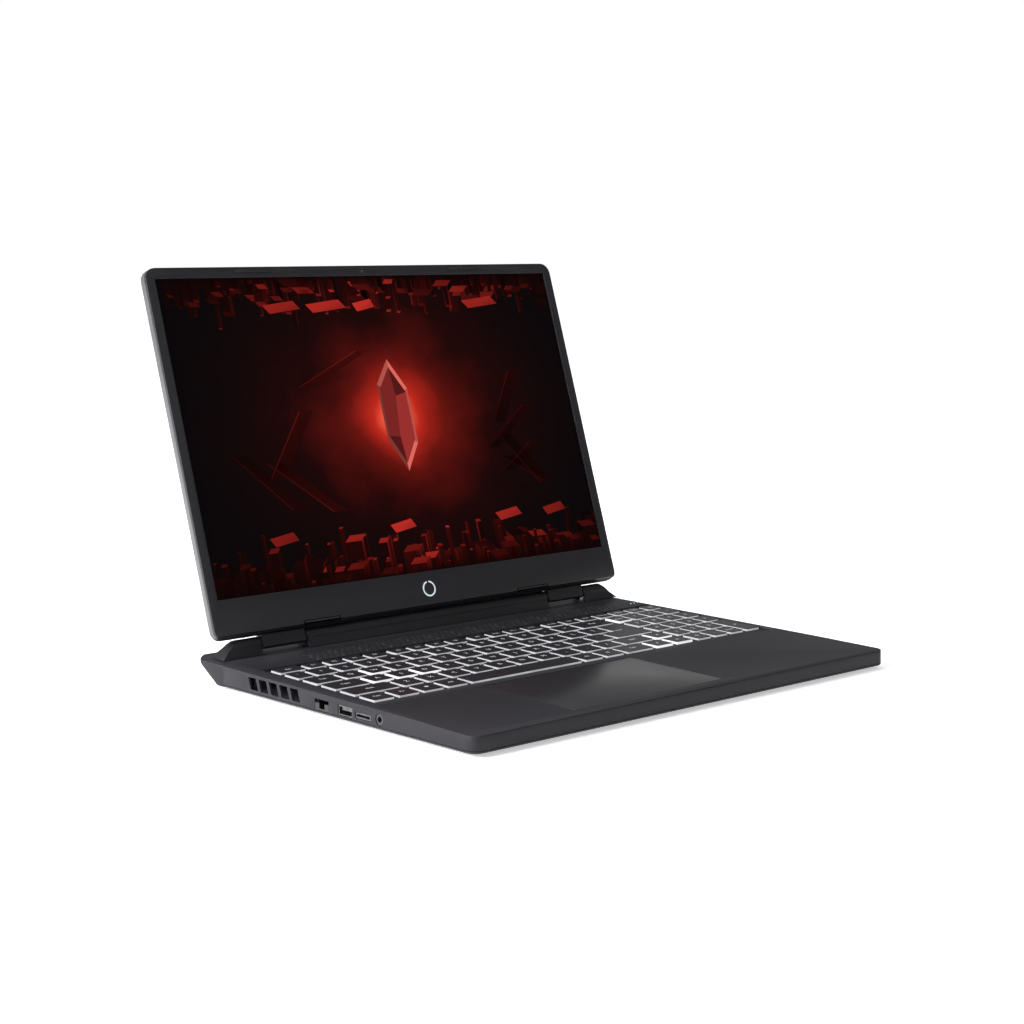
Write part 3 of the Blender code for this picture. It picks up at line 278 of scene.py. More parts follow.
socket_metal = drawn_metal("plated steel", (0.085, 0.085, 0.092), (0.150, 0.150, 0.160), 0.38)
dark_metal = drawn_metal("blackened steel", (0.030, 0.030, 0.033), (0.055, 0.055, 0.060), 0.42)
gold = drawn_metal("gilt contacts", (0.62, 0.42, 0.14), (0.86, 0.62, 0.26), 0.28)
steel = drawn_metal("plain steel", (0.36, 0.36, 0.37), (0.52, 0.52, 0.53), 0.36)
copper = drawn_metal("copper", (0.42, 0.17, 0.09), (0.78, 0.38, 0.24), 0.38)
board = circuit_board()
foil = battery_foil()
print("metals and inner finishes ready")

# %% [markdown]
# ## From a bmesh to a finished piece
#
# Every new piece ends the same way: its mesh keeps its place in the laptop's own coordinates, its faces are
# shaded smooth except across sharp edges, and it is told which moving body it rides on. A second helper
# makes a softened copy of a solid from the working model. Moulded parts never have razor edges, and an edge
# rounded by a third of a millimetre is what catches the light, so we merge the copy's loose triangles,
# clear the flat ones and bevel the outer corners.


# %% Finishing a piece
WELD = 2e-6


def finish_piece(bm, name, body, finishes, stands_for=(), sharp=35.0):
    """Makes the bmesh a piece that rides on a body, in the finishes given."""
    mesh = bpy.data.meshes.new(name)
    bm.to_mesh(mesh)
    bm.free()
    for finish in finishes:
        mesh.materials.append(finish)
    mesh.shade_smooth()
    mesh.set_sharp_from_angle(angle=math.radians(sharp))
    made = bpy.data.objects.new(name, mesh)
    bpy.context.scene.collection.objects.link(made)
    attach(made, body)
    if stands_for:
        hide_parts(*stands_for)
    print(f"{name}: {len(mesh.polygons)} faces on {body}")


def merged_copy(node):
    """A bmesh of a solid, with its triangles joined and its flat faces cleared."""
    bm = bmesh.new()
    bm.from_mesh(nodes[node].data)
    bmesh.ops.remove_doubles(bm, verts=bm.verts[:], dist=WELD)
    bmesh.ops.dissolve_limit(bm, angle_limit=math.radians(1.0), verts=bm.verts[:], edges=bm.edges[:])
    return bm


def bevel_edges(bm, edges, width, segments=2):
    """Rounds some edges and gives the new faces."""
    return bmesh.ops.bevel(
        bm,
        geom=edges,
        offset=width,
        affect="EDGES",
        segments=segments,
        profile=0.5,
        material=-1,
        clamp_overlap=True,
    )["faces"]


def add_bar(bm, low, high, finish=0):
    """A plain bar between two corners. It gives the bar's corners."""
    low, high = Vector(low), Vector(high)
    place = Matrix.Translation((low + high) / 2) @ Matrix.Diagonal((*(high - low), 1.0))
    made = bmesh.ops.create_cube(bm, size=1.0, matrix=place)["verts"]
    for face in {face for vert in made for face in vert.link_faces}:
        face.material_index = finish
    return made


def add_plate(bm, corners, level, height, finish=0, taper=1.0):
    """A flat plate from its corners, raised by a height. A taper below 1 draws its top in."""
    flat = bm.faces.new([bm.verts.new((x, y, level)) for x, y in corners])
    made = bmesh.ops.extrude_face_region(bm, geom=[flat], use_keep_orig=True)["geom"]
    top = next(part for part in made if isinstance(part, bmesh.types.BMFace))
    middle = top.calc_center_bounds()
    for vert in top.verts:
        vert.co = middle + taper * (vert.co - middle)
        vert.co.z += height
    flat.normal_flip()
    for face in {face for vert in (*flat.verts, *top.verts) for face in vert.link_faces}:
        face.material_index = finish


def add_ring(bm, place, outer, inner, height, steps=32, finish=0, angle=math.tau):
    """A flat ring: a small square profile turned about the Z axis of its place."""
    profile = [(inner, 0.0), (outer, 0.0), (outer, height), (inner, height)]
    verts = [bm.verts.new((x, 0.0, z)) for x, z in profile]
    edges = [bm.edges.new((verts[corner - 1], verts[corner])) for corner in range(4)]
    whole = angle == math.tau
    earlier = set(bm.faces)
    turning = {"cent": (0, 0, 0), "axis": (0, 0, 1), "angle": angle, "steps": steps, "use_merge": whole}
    bmesh.ops.spin(bm, geom=verts + edges, **turning)
    made = set(bm.faces) - earlier
    rim = {edge for face in made for edge in face.edges if edge.is_boundary}
    made |= set(bmesh.ops.holes_fill(bm, edges=list(rim), sides=4)["faces"])
    for face in made:
        face.material_index = finish
    bmesh.ops.transform(bm, matrix=place, verts=list({vert for face in made for vert in face.verts}))
    bmesh.ops.recalc_face_normals(bm, faces=list(made))


print("piece helpers ready")

# %% [markdown]
# ## Keys that glow at their sides
#
# A lit key is a cap of clear plastic painted black on top, with its legend left unpainted. Light from below
# fills the clear skirt, so each key is a dark tile with a bright rim, and the keys for steering have
# no paint on their skirts at all. We read each key's outline from the top faces of the working model, which
# keeps every width and the bent Enter key right. Each outline is rounded at its corners and extruded down
# in two steps: a short painted step, then the clear skirt, which leans outwards.


# %% Key tops from the working model
SLACK = 1e-5


def is_key_top(face):
    """Whether a face looks up from the deck plane itself."""
    depth = (face.calc_center_median() - DECK.translation).dot(into_deck)
    return face.normal.dot(into_deck) <= -0.999 and abs(depth) <= SLACK


def key_outlines(node):
    """A bmesh with one face for each key top of a solid, flat on the deck plane."""
    bm = merged_copy(node)
    low = [face for face in bm.faces if not is_key_top(face)]
    bmesh.ops.delete(bm, geom=low, context="FACES")
    bmesh.ops.transform(bm, matrix=DECK.inverted(), verts=bm.verts[:])
    return bm


def reading_order(face):
    """Sorts key tops from the rear row to the front row, and from left to right in each row."""
    middle = face.calc_center_bounds()
    return -round(middle.y * 250), middle.x


def key_middles(node):
    """Middle of each key top on the deck, in reading order."""
    bm = key_outlines(node)
    middles = [face.calc_center_bounds() for face in sorted(bm.faces, key=reading_order)]
    bm.free()
    return middles


KEY_NODES = sorted(node for node in nodes if node.endswith(("_keys", "_key")) or node == "space_bar")
KEY_NODES.append("power_button")
key_count = {node: len(key_middles(node)) for node in KEY_NODES}
print(sum(key_count.values()), "keys:", key_count)

# %% [markdown]
# The skirt is a white plastic that gives off its own light. It is a little uneven, as light guides are:
# each key is brightest over the nearest lamp. The legends are the same plastic, seen through the paint.


# %% Finish of the lit plastic
def lit_plastic(name, glow, uneven):
    made, shader, place = new_finish(name, 0.5)
    shader.inputs["Base Color"].default_value = (0.16, 0.16, 0.17, 1.0)
    patches = noise(place, 60.0, 2.0)
    dim = [(1.0 - uneven) * part for part in glow]
    tinted(patches, dim, glow).feeds(shader, "Emission Color")
    shader.inputs["Emission Strength"].default_value = 1.0
    return made


lit_skirt = lit_plastic("lit key skirt", (0.46, 0.46, 0.49), 0.45)
bright_skirt = lit_plastic("bright key skirt", (0.88, 0.88, 0.92), 0.15)
lit_legend = lit_plastic("lit legend", (0.50, 0.50, 0.53), 0.25)
print("lit plastics ready")

# %% [markdown]
# The painted step is half a millimetre high on a plain key and almost nothing on a steering key. The top
# is dished by a tenth of a millimetre, which is enough for its reflection to bend.

# %% Key caps
CAP_DEPTH = 0.0022
SKIRT_FLARE = 0.0004
CORNER = 0.0011
PAINTED_STEP = 0.00048
BARE_STEP = 0.00008
DISH = 0.00010
DISH_EDGE = 0.0007
TOP_RIM = 0.0002
PAINTED_FLARE = 0.00003


def lower_rim(bm, rim, depth, flare, finish):
    """Extrudes a closed rim of edges down the key and outwards, and gives the new rim."""
    made = bmesh.ops.extrude_edge_only(bm, edges=rim)["geom"]
    verts = [part for part in made if isinstance(part, bmesh.types.BMVert)]
    middle = sum((vert.co for vert in verts), Vector()) / len(verts)
    for vert in verts:
        vert.co.z -= depth
        vert.co.x += math.copysign(flare, vert.co.x - middle.x)
        vert.co.y += math.copysign(flare, vert.co.y - middle.y)
    for part in made:
        if isinstance(part, bmesh.types.BMFace):
            part.material_index = finish
    return [part for part in made if isinstance(part, bmesh.types.BMEdge) and part.is_boundary]


def stem_and_link(bm, node):
    """Adds the hidden stems and link of a solid, below its caps."""
    low = bmesh.new()
    low.from_mesh(nodes[node].data)
    bmesh.ops.remove_doubles(low, verts=low.verts[:], dist=WELD)
    bmesh.ops.transform(low, matrix=DECK.inverted(), verts=low.verts[:])
    caps = [face for face in low.faces if all(vert.co.z > -CAP_DEPTH - SLACK for vert in face.verts)]
    bmesh.ops.delete(low, geom=caps, context="FACES")
    bmesh.ops.holes_fill(low, edges=[edge for edge in low.edges if edge.is_boundary], sides=0)
    for face in low.faces:
        face.material_index = 0
    hidden = bpy.data.meshes.new(node + "_hidden")
    low.to_mesh(hidden)
    low.free()
    bm.from_mesh(hidden)


def cap_mesh(node, bright):
    """All caps of one solid. bright holds the numbers of its steering keys, in reading order."""
    bm = key_outlines(node)
    bmesh.ops.bevel(
        bm, geom=bm.verts[:], offset=CORNER, affect="VERTICES", segments=3, profile=0.5, material=-1
    )
    for number, top in enumerate(sorted(bm.faces, key=reading_order)):
        ring = bmesh.ops.inset_individual(bm, faces=[top], thickness=TOP_RIM)["faces"]
        bmesh.ops.inset_individual(bm, faces=[top], thickness=DISH_EDGE, depth=-DISH)
        painted = BARE_STEP if number in bright else PAINTED_STEP
        skirt = 2 if number in bright else 1
        rim = [edge for face in ring for edge in face.edges if edge.is_boundary]
        rim = lower_rim(bm, rim, painted, PAINTED_FLARE, 0)
        rim = lower_rim(bm, rim, CAP_DEPTH - painted, SKIRT_FLARE - PAINTED_FLARE, skirt)
        bmesh.ops.holes_fill(bm, edges=rim, sides=0)
    bmesh.ops.recalc_face_normals(bm, faces=bm.faces[:])
    stem_and_link(bm, node)
    bmesh.ops.transform(bm, matrix=DECK, verts=bm.verts[:])
    return bm


STEERING = {
    "upper_letter_keys": [2],
    "home_letter_keys": [1, 2, 3],
    "lower_letter_keys": [12],
    "bottom_right_keys": [3, 4],
    "numpad_keys": [0],
}
for node in KEY_NODES:
    finishes = (key_plastic, lit_skirt, bright_skirt)
    caps = cap_mesh(node, STEERING.get(node, []))
    finish_piece(caps, node + "_caps", node, finishes, [node], sharp=3.0)

# %% [markdown]
# The legends are set in a plain sans-serif face, letters large and words small, a fiftieth of a millimetre
# above the dished top. Text becomes a mesh at once, so each set of legends is one small piece that moves
# with its keys. Arrows and the menu mark are drawn as triangles and bars with the same helper.

# %% Legends
LEGENDS = {
    "escape_key": "Esc",
    "function_keys": "F1 F2 F3 F4 F5 F6 F7 F8 F9 F10 F11 F12 PrtSc Ins Del Home PgUp PgDn",
    "number_keys": "` 1 2 3 4 5 6 7 8 9 0 - = Bksp",
    "upper_letter_keys": "Tab Q W E R T Y U I O P [ ]",
    "home_letter_keys": "Caps A S D F G H J K L ; '",
    "lower_letter_keys": "Shift Z X C V B N M , . / Shift up",
    "bottom_left_keys": "Ctrl Fn disc Alt",
    "bottom_right_keys": "Alt bars Ctrl left down",
    "numpad_keys": "Num / * - 7 8 9 + 4 5 6 = 1 2 3 right 0 . Enter",
    "enter_key": "Enter",
    "power_button": "ring",
}
LETTER = 0.0050
WORD = 0.0034
LEGEND_LIFT = 0.00002
LEGEND_LEVEL = -DISH + LEGEND_LIFT
PAINT = 0.00002


def text_mesh(words, size):
    """The outline of some text as a flat mesh round the origin."""
    curve = bpy.data.curves.new("text", "FONT")
    curve.body = words
    curve.size = size
    curve.align_x = "CENTER"
    curve.align_y = "CENTER"
    curve.resolution_u = 3
    curve.extrude = PAINT / 2
    holder = bpy.data.objects.new("text", curve)
    bpy.context.scene.collection.objects.link(holder)
    bpy.context.view_layer.update()
    mesh = bpy.data.meshes.new_from_object(holder)
    bpy.data.objects.remove(holder)
    return mesh


def ring_of(radius, count, start=0.0):
    """Corners of a regular shape."""
    steps = [start + math.tau * step / count for step in range(count)]
    return [(radius * math.cos(step), radius * math.sin(step)) for step in steps]


def add_mark(bm, corners, place):
    moved = [(place.x + x, place.y + y) for x, y in corners]
    add_plate(bm, moved, place.z, PAINT)


def add_legend(bm, legend, place):
    """One legend about a place on the deck: a drawn mark, or a word in the built-in typeface."""
    arrows = {"right": 0.0, "up": 90.0, "left": 180.0, "down": 270.0}
    if legend in arrows:
        add_mark(bm, ring_of(0.0013, 3, math.radians(arrows[legend])), place)
    elif legend == "disc":
        add_mark(bm, ring_of(0.0014, 16), place)
    elif legend == "bars":
        for height in (-0.0010, 0.0, 0.0010):
            low, high = height - 0.0002, height + 0.0002
            add_mark(bm, [(-0.0013, low), (0.0013, low), (0.0013, high), (-0.0013, high)], place)
    elif legend == "ring":
        add_ring(bm, Matrix.Translation(place), 0.0015, 0.0011, PAINT, steps=20)
    else:
        first = len(bm.verts)
        bm.from_mesh(text_mesh(legend, LETTER if len(legend) == 1 else WORD))
        bm.verts.ensure_lookup_table()
        bmesh.ops.translate(bm, vec=place, verts=bm.verts[first:])


def legend_piece(node):
    bm = bmesh.new()
    for legend, middle in zip(LEGENDS[node].split(), key_middles(node), strict=True):
        add_legend(bm, legend, Vector((middle.x, middle.y, LEGEND_LEVEL)))
    bmesh.ops.remove_doubles(bm, verts=bm.verts[:], dist=1e-6)
    bmesh.ops.transform(bm, matrix=DECK, verts=bm.verts[:])
    finish_piece(bm, node + "_legends", node, [lit_legend])


for node in LEGENDS:
    legend_piece(node)

# %% [markdown]
# ## Softened shells
#
# Injection-moulded covers come out of the mould with small radii on their outer edges. In the working model
# those edges are sharp, so the covers that show are replaced by softened copies. Only edges that stick
# out are rounded, because a bevel in an inner corner would add material and could close a fit. Edges are
# what hands rub, so the shell's take a finish of their own, smoother than its faces, and paler, which is a
# painted highlight. The lid's two narrow sides take the same paler finish, as a painted highlight.


# %% Covers with rounded edges
SHARP_ANGLE = math.radians(30.0)


def softened(node, radius, finish, slot):
    """A copy of a solid whose outer sharp edges are rounded."""
    bm = merged_copy(node)
    sharp = [
        edge
        for edge in bm.edges
        if edge.is_manifold and edge.is_convex and edge.calc_face_angle() > SHARP_ANGLE
    ]
    # The rounded edges take the second finish. On the shell it is paler, a painted highlight, and smoother, as
    # rubbed edges are.
    for face in bevel_edges(bm, [edge for edge in sharp if edge.calc_length() > 4 * radius], radius):
        face.material_index = 1
    # The lid's two narrow sides take the paler finish too, as a painted highlight.
    if node == "lid_cover":
        for face in bm.faces:
            if abs(face.normal.x) > 0.5:
                face.material_index = 1
    rim = rubbed_rim_and_painted_highlight if slot == "shell_plastic" else finish
    finish_piece(bm, node + "_soft", body_of[node], [finish, rim], [node])


softened("lid_bezel", 0.00035, lid_plastic, "shell_plastic")
softened("lid_cover", 0.00040, shell_plastic, "shell_plastic")
softened("top_cover", 0.00038, shell_plastic, "shell_plastic")
softened("rear_cover", 0.00028, shell_plastic, "shell_plastic")
for node in ("hinge_center_cover", "hinge_cap_left", "hinge_cap_right"):
    softened(node, 0.00022, cover_plastic, "hinge_cover")
softened("touchpad", 0.00012, pad_plastic, "touchpad_surface")
for node in ("lid_bumper_left", "lid_bumper_right", "foot_front_left", "foot_front_right", "foot_rear"):
    softened(node, 0.00015, rubber, "rubber")

# %% [markdown]
# ## The display
#
# The panel is a flat plate whose front gives off the picture. The picture is invented here: a red lamp
# glows at the middle of a dark hall, and blocks stand along its floor and hang from its ceiling. Its
# backdrop is pure shader maths over the plate, measured in metres by a UV map, so that the glow fades
# with true distance. The blocks are thin prisms with a colour at each corner, which give them crisp edges.

# %% Backdrop of the display
panel_low, panel_high = box_in("display_panel", LID)
bezel_level = box_in("lid_bezel", LID)[1].z
SCREEN_HALF = 0.1730
SCREEN_LOW = 0.0310
SCREEN_HIGH = 0.2480
GLOW_AT = (0.0050, 0.1450)


def glow_field(uv, reach, wide=1.0):
    """From 0 at a distance from the lamp to 1 at the lamp."""
    scale = (wide / reach, 1.0 / reach, 1.0)
    shift = (-GLOW_AT[0] * scale[0], -GLOW_AT[1] * scale[1], 0.0)
    moved = uv.node("ShaderNodeMapping", {}, {"Vector": uv, "Scale": scale, "Location": shift})
    return moved.node("ShaderNodeTexGradient", {"gradient_type": "SPHERICAL"}, {"Vector": moved}, 1)


def screen_finish():
    made, shader, place = new_finish("lit display", 0.22)
    shader.inputs["Base Color"].default_value = (0.001, 0.001, 0.001, 1.0)
    shader.inputs["Specular IOR Level"].default_value = 0.02
    uv = place.node("ShaderNodeTexCoord", {}, {}, 2)
    glow = glow_field(uv, 0.150, 0.80)
    core = glow_field(uv, 0.060)
    haze = noise(uv, 26.0, 4.0)
    ribbons = uv.node("ShaderNodeMapping", {}, {"Vector": uv, "Rotation": (0.0, 0.0, 0.65)})
    ribbons = ribbons.node("ShaderNodeTexVoronoi", {"feature": "F1"}, {"Vector": ribbons, "Scale": 17.0})
    level = glow * glow * (0.04 + 0.50 * haze) + 0.24 * glow * glow * ribbons + core * core * 0.85
    stops = [
        (0.0, (0.0022, 0.0011, 0.0014)),
        (0.10, (0.0120, 0.0012, 0.0012)),
        (0.35, (0.1300, 0.0060, 0.0040)),
        (0.70, (0.5000, 0.0200, 0.0110)),
        (1.0, (0.9500, 0.1100, 0.0600)),
    ]
    picture = level.node("ShaderNodeValToRGB", {"stops": stops}, {"Fac": level})
    picture.feeds(shader, "Emission Color")
    shader.inputs["Emission Strength"].default_value = 1.0
    return made


def display_piece():
    bm = bmesh.new()
    bmesh.ops.create_cube(bm, size=1.0)
    size = panel_high - panel_low
    place = Matrix.Translation((panel_low + panel_high) / 2) @ Matrix.Diagonal((*size, 1.0))
    bmesh.ops.transform(bm, matrix=place, verts=bm.verts[:])
    layer = bm.loops.layers.uv.new("metres")
    for face in bm.faces:
        for loop in face.loops:
            loop[layer].uv = loop.vert.co.x, loop.vert.co.y
    bmesh.ops.transform(bm, matrix=LID, verts=bm.verts[:])
    finish_piece(bm, "display_plate", "lid", [screen_finish()], ["display_panel"])


display_piece()

# %% [markdown]
# Each block has a front, a side and a lit face towards the lamp's level. Its corners take colours that
# fall off with their distance from the lamp, and random choices with a fixed seed keep the hall the same
# on every run. The gem in the middle is a long hexagon, cut in facets.

# %% Blocks and the gem
dice = random.Random(7)
PICTURE_LEVEL = panel_high.z + 0.00004
LAYER = 0.00003


def near_lamp(x, y, reach):
    distance = math.hypot(x - GLOW_AT[0], 0.8 * (y - GLOW_AT[1]))
    return math.exp(-((distance / reach) ** 2))


def paint(bm, corners, colours, layer):
    """A thin prism over some corners of the picture, with a colour at each corner."""
    shades = bm.loops.layers.float_color["shade"]
    inside = [
        (max(-SCREEN_HALF, min(SCREEN_HALF, x)), max(SCREEN_LOW, min(SCREEN_HIGH, y))) for x, y in corners
    ]
    level = PICTURE_LEVEL + layer * LAYER
    front = [bm.verts.new((x, y, level)) for x, y in inside]
    back = [bm.verts.new((x, y, level - 0.00002)) for x, y in inside]
    faces = [bm.faces.new(front), bm.faces.new(back[::-1])]
    for here in range(len(front)):
        after = (here + 1) % len(front)
        faces.append(bm.faces.new((front[here], back[here], back[after], front[after])))
    colour_of = dict(zip(front + back, list(colours) * 2))
    for face in faces:
        for loop in face.loops:
            loop[shades] = (*colour_of[loop.vert], 1.0)


def red(level):
    return (level, 0.05 * level, 0.035 * level)


def block(bm, x, foot, width, height, layer):
    """A block that stands on the picture's edge, or hangs from it when its height is negative."""
    lean = 0.35 * width if x < GLOW_AT[0] else -0.35 * width
    end = foot + height
    cap = math.copysign(min(0.0045, 0.45 * width), height)
    warm = near_lamp(x, end, 0.105)
    front = 0.006 + 0.050 * warm * dice.random()
    lit = (0.030 + 0.60 * warm) * dice.uniform(0.15, 1.0) ** 2
    base, top = red(0.25 * front + 0.002), red(front)
    paint(bm, [(x, foot), (x + width, foot), (x + width, end), (x, end)], [base, base, top, top], layer)
    side = x + width if lean > 0 else x
    beam = red((0.010 + 0.22 * warm) * dice.random())
    corners = [(side, foot), (side + lean, foot), (side + lean, end + cap), (side, end)]
    paint(bm, corners, [red(0.003), red(0.003), beam, beam], layer)
    corners = [(x, end), (x + width, end), (x + width + lean, end + cap), (x + lean, end + cap)]
    paint(bm, corners, [red(lit), red(0.8 * lit), red(lit), red(lit)], layer + 1)


def picture_blocks():
    bm = bmesh.new()
    bm.loops.layers.float_color.new("shade")
    for row, (low, high, count) in enumerate(((0.010, 0.044, 54), (0.006, 0.030, 44), (0.003, 0.018, 34))):
        for number in range(count):
            x = -SCREEN_HALF + 2 * SCREEN_HALF * (number + dice.random()) / count
            wide = dice.choice((0.0022, 0.0030, 0.0040, 0.0075, 0.0140))
            tall = dice.uniform(low, high) * (0.65 if wide > 0.007 else 1.0)
            block(bm, x, SCREEN_LOW, wide, tall, 3 * row)
            if dice.random() < 0.85:
                x = -SCREEN_HALF + 2 * SCREEN_HALF * (number + dice.random()) / count
                block(bm, x, SCREEN_HIGH, wide, -0.9 * tall, 3 * row)
    for number in range(9):
        x = dice.uniform(-0.15, 0.14)
        y = SCREEN_LOW + 0.030 if number % 2 else SCREEN_HIGH - 0.026
        wide = dice.uniform(0.016, 0.030)
        lit = 0.10 + 0.55 * near_lamp(x, y, 0.10)
        corners = [(x, y), (x + wide, y + 0.003), (x + 0.8 * wide, y + 0.009), (x - 0.2 * wide, y + 0.006)]
        paint(bm, corners, [red(lit), red(0.7 * lit), red(lit), red(1.1 * lit)], 10)
    return bm


def add_ribbons(bm):
    """Faint slanted frames in the air of the hall, each a lit line over a dim band."""
    for number in range(9):
        x = dice.choice((dice.uniform(-0.150, -0.070), dice.uniform(0.045, 0.120)))
        y = dice.uniform(0.085, 0.170)
        along = Vector((dice.uniform(0.020, 0.055), dice.choice((-1, 1)) * dice.uniform(0.018, 0.045)))
        start = Vector((x, y))
        end = start + along
        lit = 0.004 + 0.110 * near_lamp(end.x, end.y, 0.085)
        across = Vector((0.012, 0.0))
        edge = Vector((0.0011, 0.0))
        band = [tuple(point) for point in (start, start + across, end + across, end)]
        paint(bm, band, [red(0.25 * lit), red(0.25 * lit), red(0.55 * lit), red(0.55 * lit)], 0)
        line = [tuple(point) for point in (start, start + edge, end + edge, end)]
        paint(bm, line, [red(0.9 * lit), red(0.9 * lit), red(2.2 * lit), red(2.2 * lit)], 1)


def add_gem(bm):
    """A long cut gem: a bright outline, and facets that meet at a ridge."""
    middle = Vector(GLOW_AT)
    outline = [(0.0, 0.041), (0.0130, 0.019), (0.0130, -0.021)]
    outline += [(0.0, -0.041), (-0.0130, -0.017), (-0.0130, 0.023)]
    outer = [middle + Vector(corner) for corner in outline]
    rings = ((1.0, 12, 0.95, 0.20, 0.16), (0.86, 13, 0.42, 0.09, 0.08))
    for share, layer, strength, green, blue in rings:
        ring = [middle + share * (corner - middle) for corner in outer]
        ridge = [middle + Vector((0.0015, 0.014)), middle + Vector((-0.0015, -0.016))]
        for here in range(6):
            after = (here + 1) % 6
            top = ridge[0] if here in (0, 5) else ridge[1] if here in (2, 3) else None
            points = [ring[here], ring[after], top] if top else [ring[here], ring[after]]
            if top is None:
                points += [ridge[1], ridge[0]] if here == 1 else [ridge[0], ridge[1]]
            light = strength * dice.choice((0.20, 0.45, 0.75, 1.0))
            shade = (light, green * light, blue * light)
            paint(bm, [tuple(point) for point in points], [shade] * len(points), layer)


def picture_finish():
    made, shader, place = new_finish("picture blocks", 0.22)
    shader.inputs["Base Color"].default_value = (0.001, 0.001, 0.001, 1.0)
    shader.inputs["Specular IOR Level"].default_value = 0.02
    shade = place.node("ShaderNodeAttribute", {"attribute_name": "shade"})
    shade.feeds(shader, "Emission Color")
    shader.inputs["Emission Strength"].default_value = 1.0
    return made


blocks = picture_blocks()
add_ribbons(blocks)
add_gem(blocks)
bmesh.ops.transform(blocks, matrix=LID, verts=blocks.verts[:])
finish_piece(blocks, "display_picture", "lid", [picture_finish()])

# %% [markdown]
# ## Small things on the lid
#
# A webcam's glass, an unlit lamp beside it, two microphone holes, two pairs of strips along the lower edge
# (each a near-black bar of painted shade where the bezel steps in, with a paler line along it), a thin
# line at the picture's foot and a ring-shaped mark under the screen. Most of them stand only about a
# tenth of a millimetre proud, yet without them a bezel looks like a blank board.

# %% Lid details
def add_disc(bm, place, radius, height, finish=0, segments=24):
    """A short round stud on the lid's or the deck's face."""
    made = bmesh.ops.create_cone(
        bm,
        cap_ends=True,
        segments=segments,
        radius1=radius,
        radius2=0.92 * radius,
        depth=height,
        matrix=Matrix.Translation(place),
    )
    for face in {face for vert in made["verts"] for face in vert.link_faces}:
        face.material_index = finish


def glossy_black():
    made, shader, place = new_finish("lens glass", 0.06)
    tinted(noise(place, 300.0), (0.004, 0.004, 0.006), (0.010, 0.008, 0.016)).feeds(shader, "Base Color")
    shader.inputs["Coat Weight"].default_value = 1.0
    return made


def glowing(name, colour, strength):
    made, shader, place = new_finish(name, 0.4)
    tinted(noise(place, 500.0), [0.85 * part for part in colour], colour).feeds(shader, "Emission Color")
    shader.inputs["Emission Strength"].default_value = strength
    return made


lens_glass = glossy_black()
lamp = glowing("lamp", (0.30, 0.75, 0.95), 0.8)
mark = glowing("ring mark", (0.20, 0.34, 0.40), 0.9)


WEBCAM_UP = 0.2512
STRIP_MIDDLE = 0.095
MARK_UP = 0.0188


def lid_details():
    bm = bmesh.new()
    face = bezel_level
    add_disc(bm, (0.0, WEBCAM_UP, face), 0.0021, 0.0003, 0)
    add_disc(bm, (0.0, WEBCAM_UP, face + 0.0001), 0.0012, 0.0003, 1)
    add_disc(bm, (-0.0055, WEBCAM_UP, face), 0.0004, 0.0002, 1, 12)
    for x in (-0.033, 0.033):
        add_disc(bm, (x, WEBCAM_UP, face), 0.0005, 0.0002, 1, 12)
    for middle in (-STRIP_MIDDLE, STRIP_MIDDLE):
        # Each strip: a near-black bar, painted shade where the bezel steps in, and a paler line along it.
        add_bar(bm, (middle - 0.0150, 0.0064, face - 0.0001), (middle + 0.0150, 0.0098, face + 0.00006), 3)
        add_bar(bm, (middle - 0.0140, 0.0084, face), (middle + 0.0140, 0.0091, face + 0.00012), 4)
    add_bar(bm, (-0.1728, 0.0308, panel_high.z), (0.1728, 0.0312, panel_high.z + 0.0004), 4)
    turned = Matrix.Translation((0.0, MARK_UP, face)) @ Matrix.Rotation(math.radians(104), 4, "Z")
    add_ring(bm, turned, 0.0056, 0.0045, 0.00006, steps=38, finish=2, angle=math.radians(340))
    bmesh.ops.transform(bm, matrix=LID, verts=bm.verts[:])
    finishes = [black_plastic, lens_glass, mark, painted_shade_black, dash_plastic]
    finish_piece(bm, "lid_details", "lid", finishes)


lid_details()

# %% [markdown]
# The lid hangs on two knuckles. Each hides a steel pin behind a squared cover that turns with the lid. The
# corners below the hinge axis swing past the deck, so they must stay nearer to the axis than the deck is.
# The print-out gives the reach of those corners, and the room above the deck.

# %% Knuckle covers
KNUCKLE_INNER = 0.1101
KNUCKLE_OUTER = 0.1441
KNUCKLE_LOW = (-0.0040, -0.0014)
KNUCKLE_HIGH = (0.0053, 0.0046)
KNUCKLE_ROUND = 0.0013


def knuckle_covers():
    bm = bmesh.new()
    for side in (-1, 1):
        ends = sorted((side * KNUCKLE_INNER, side * KNUCKLE_OUTER))
        verts = add_bar(bm, (ends[0], *KNUCKLE_LOW), (ends[1], *KNUCKLE_HIGH))
        edges = {edge for vert in verts for edge in vert.link_edges}
        long_edges = [edge for edge in edges if abs(edge.verts[0].co.x - edge.verts[1].co.x) > 0.01]
        bevel_edges(bm, long_edges, KNUCKLE_ROUND, 4)
    reach = max(math.hypot(vert.co.y, vert.co.z) for vert in bm.verts if vert.co.y < 0)
    print("knuckle reach", round(reach, 5), "room", round(hinge.z - DECK.translation.z, 5))
    bmesh.ops.transform(bm, matrix=LID, verts=bm.verts[:])
    finish_piece(bm, "knuckle_covers", "lid", [cover_plastic])


knuckle_covers()

# %% [markdown]
# Between the knuckles a near-black strip fills the gap under the lid: painted shade where the gap is dark.
# It sits on the middle cover, which stays with the base, so the strip doesn't turn.

# %% Painted shade in the hinge gap
def hinge_gap_painted_shade():
    """A near-black strip on the middle cover: painted shade that fills the gap below the lid."""
    bm = bmesh.new()
    # A near-black bar: painted shade where the gap under the lid is dark.
    add_bar(bm, (-0.1080, 0.00460, -0.0006), (0.1080, 0.00512, 0.0006))
    bmesh.ops.transform(bm, matrix=LID, verts=bm.verts[:])
    finish_piece(bm, "hinge_gap_painted_shade", "base", [painted_shade_black])


hinge_gap_painted_shade()
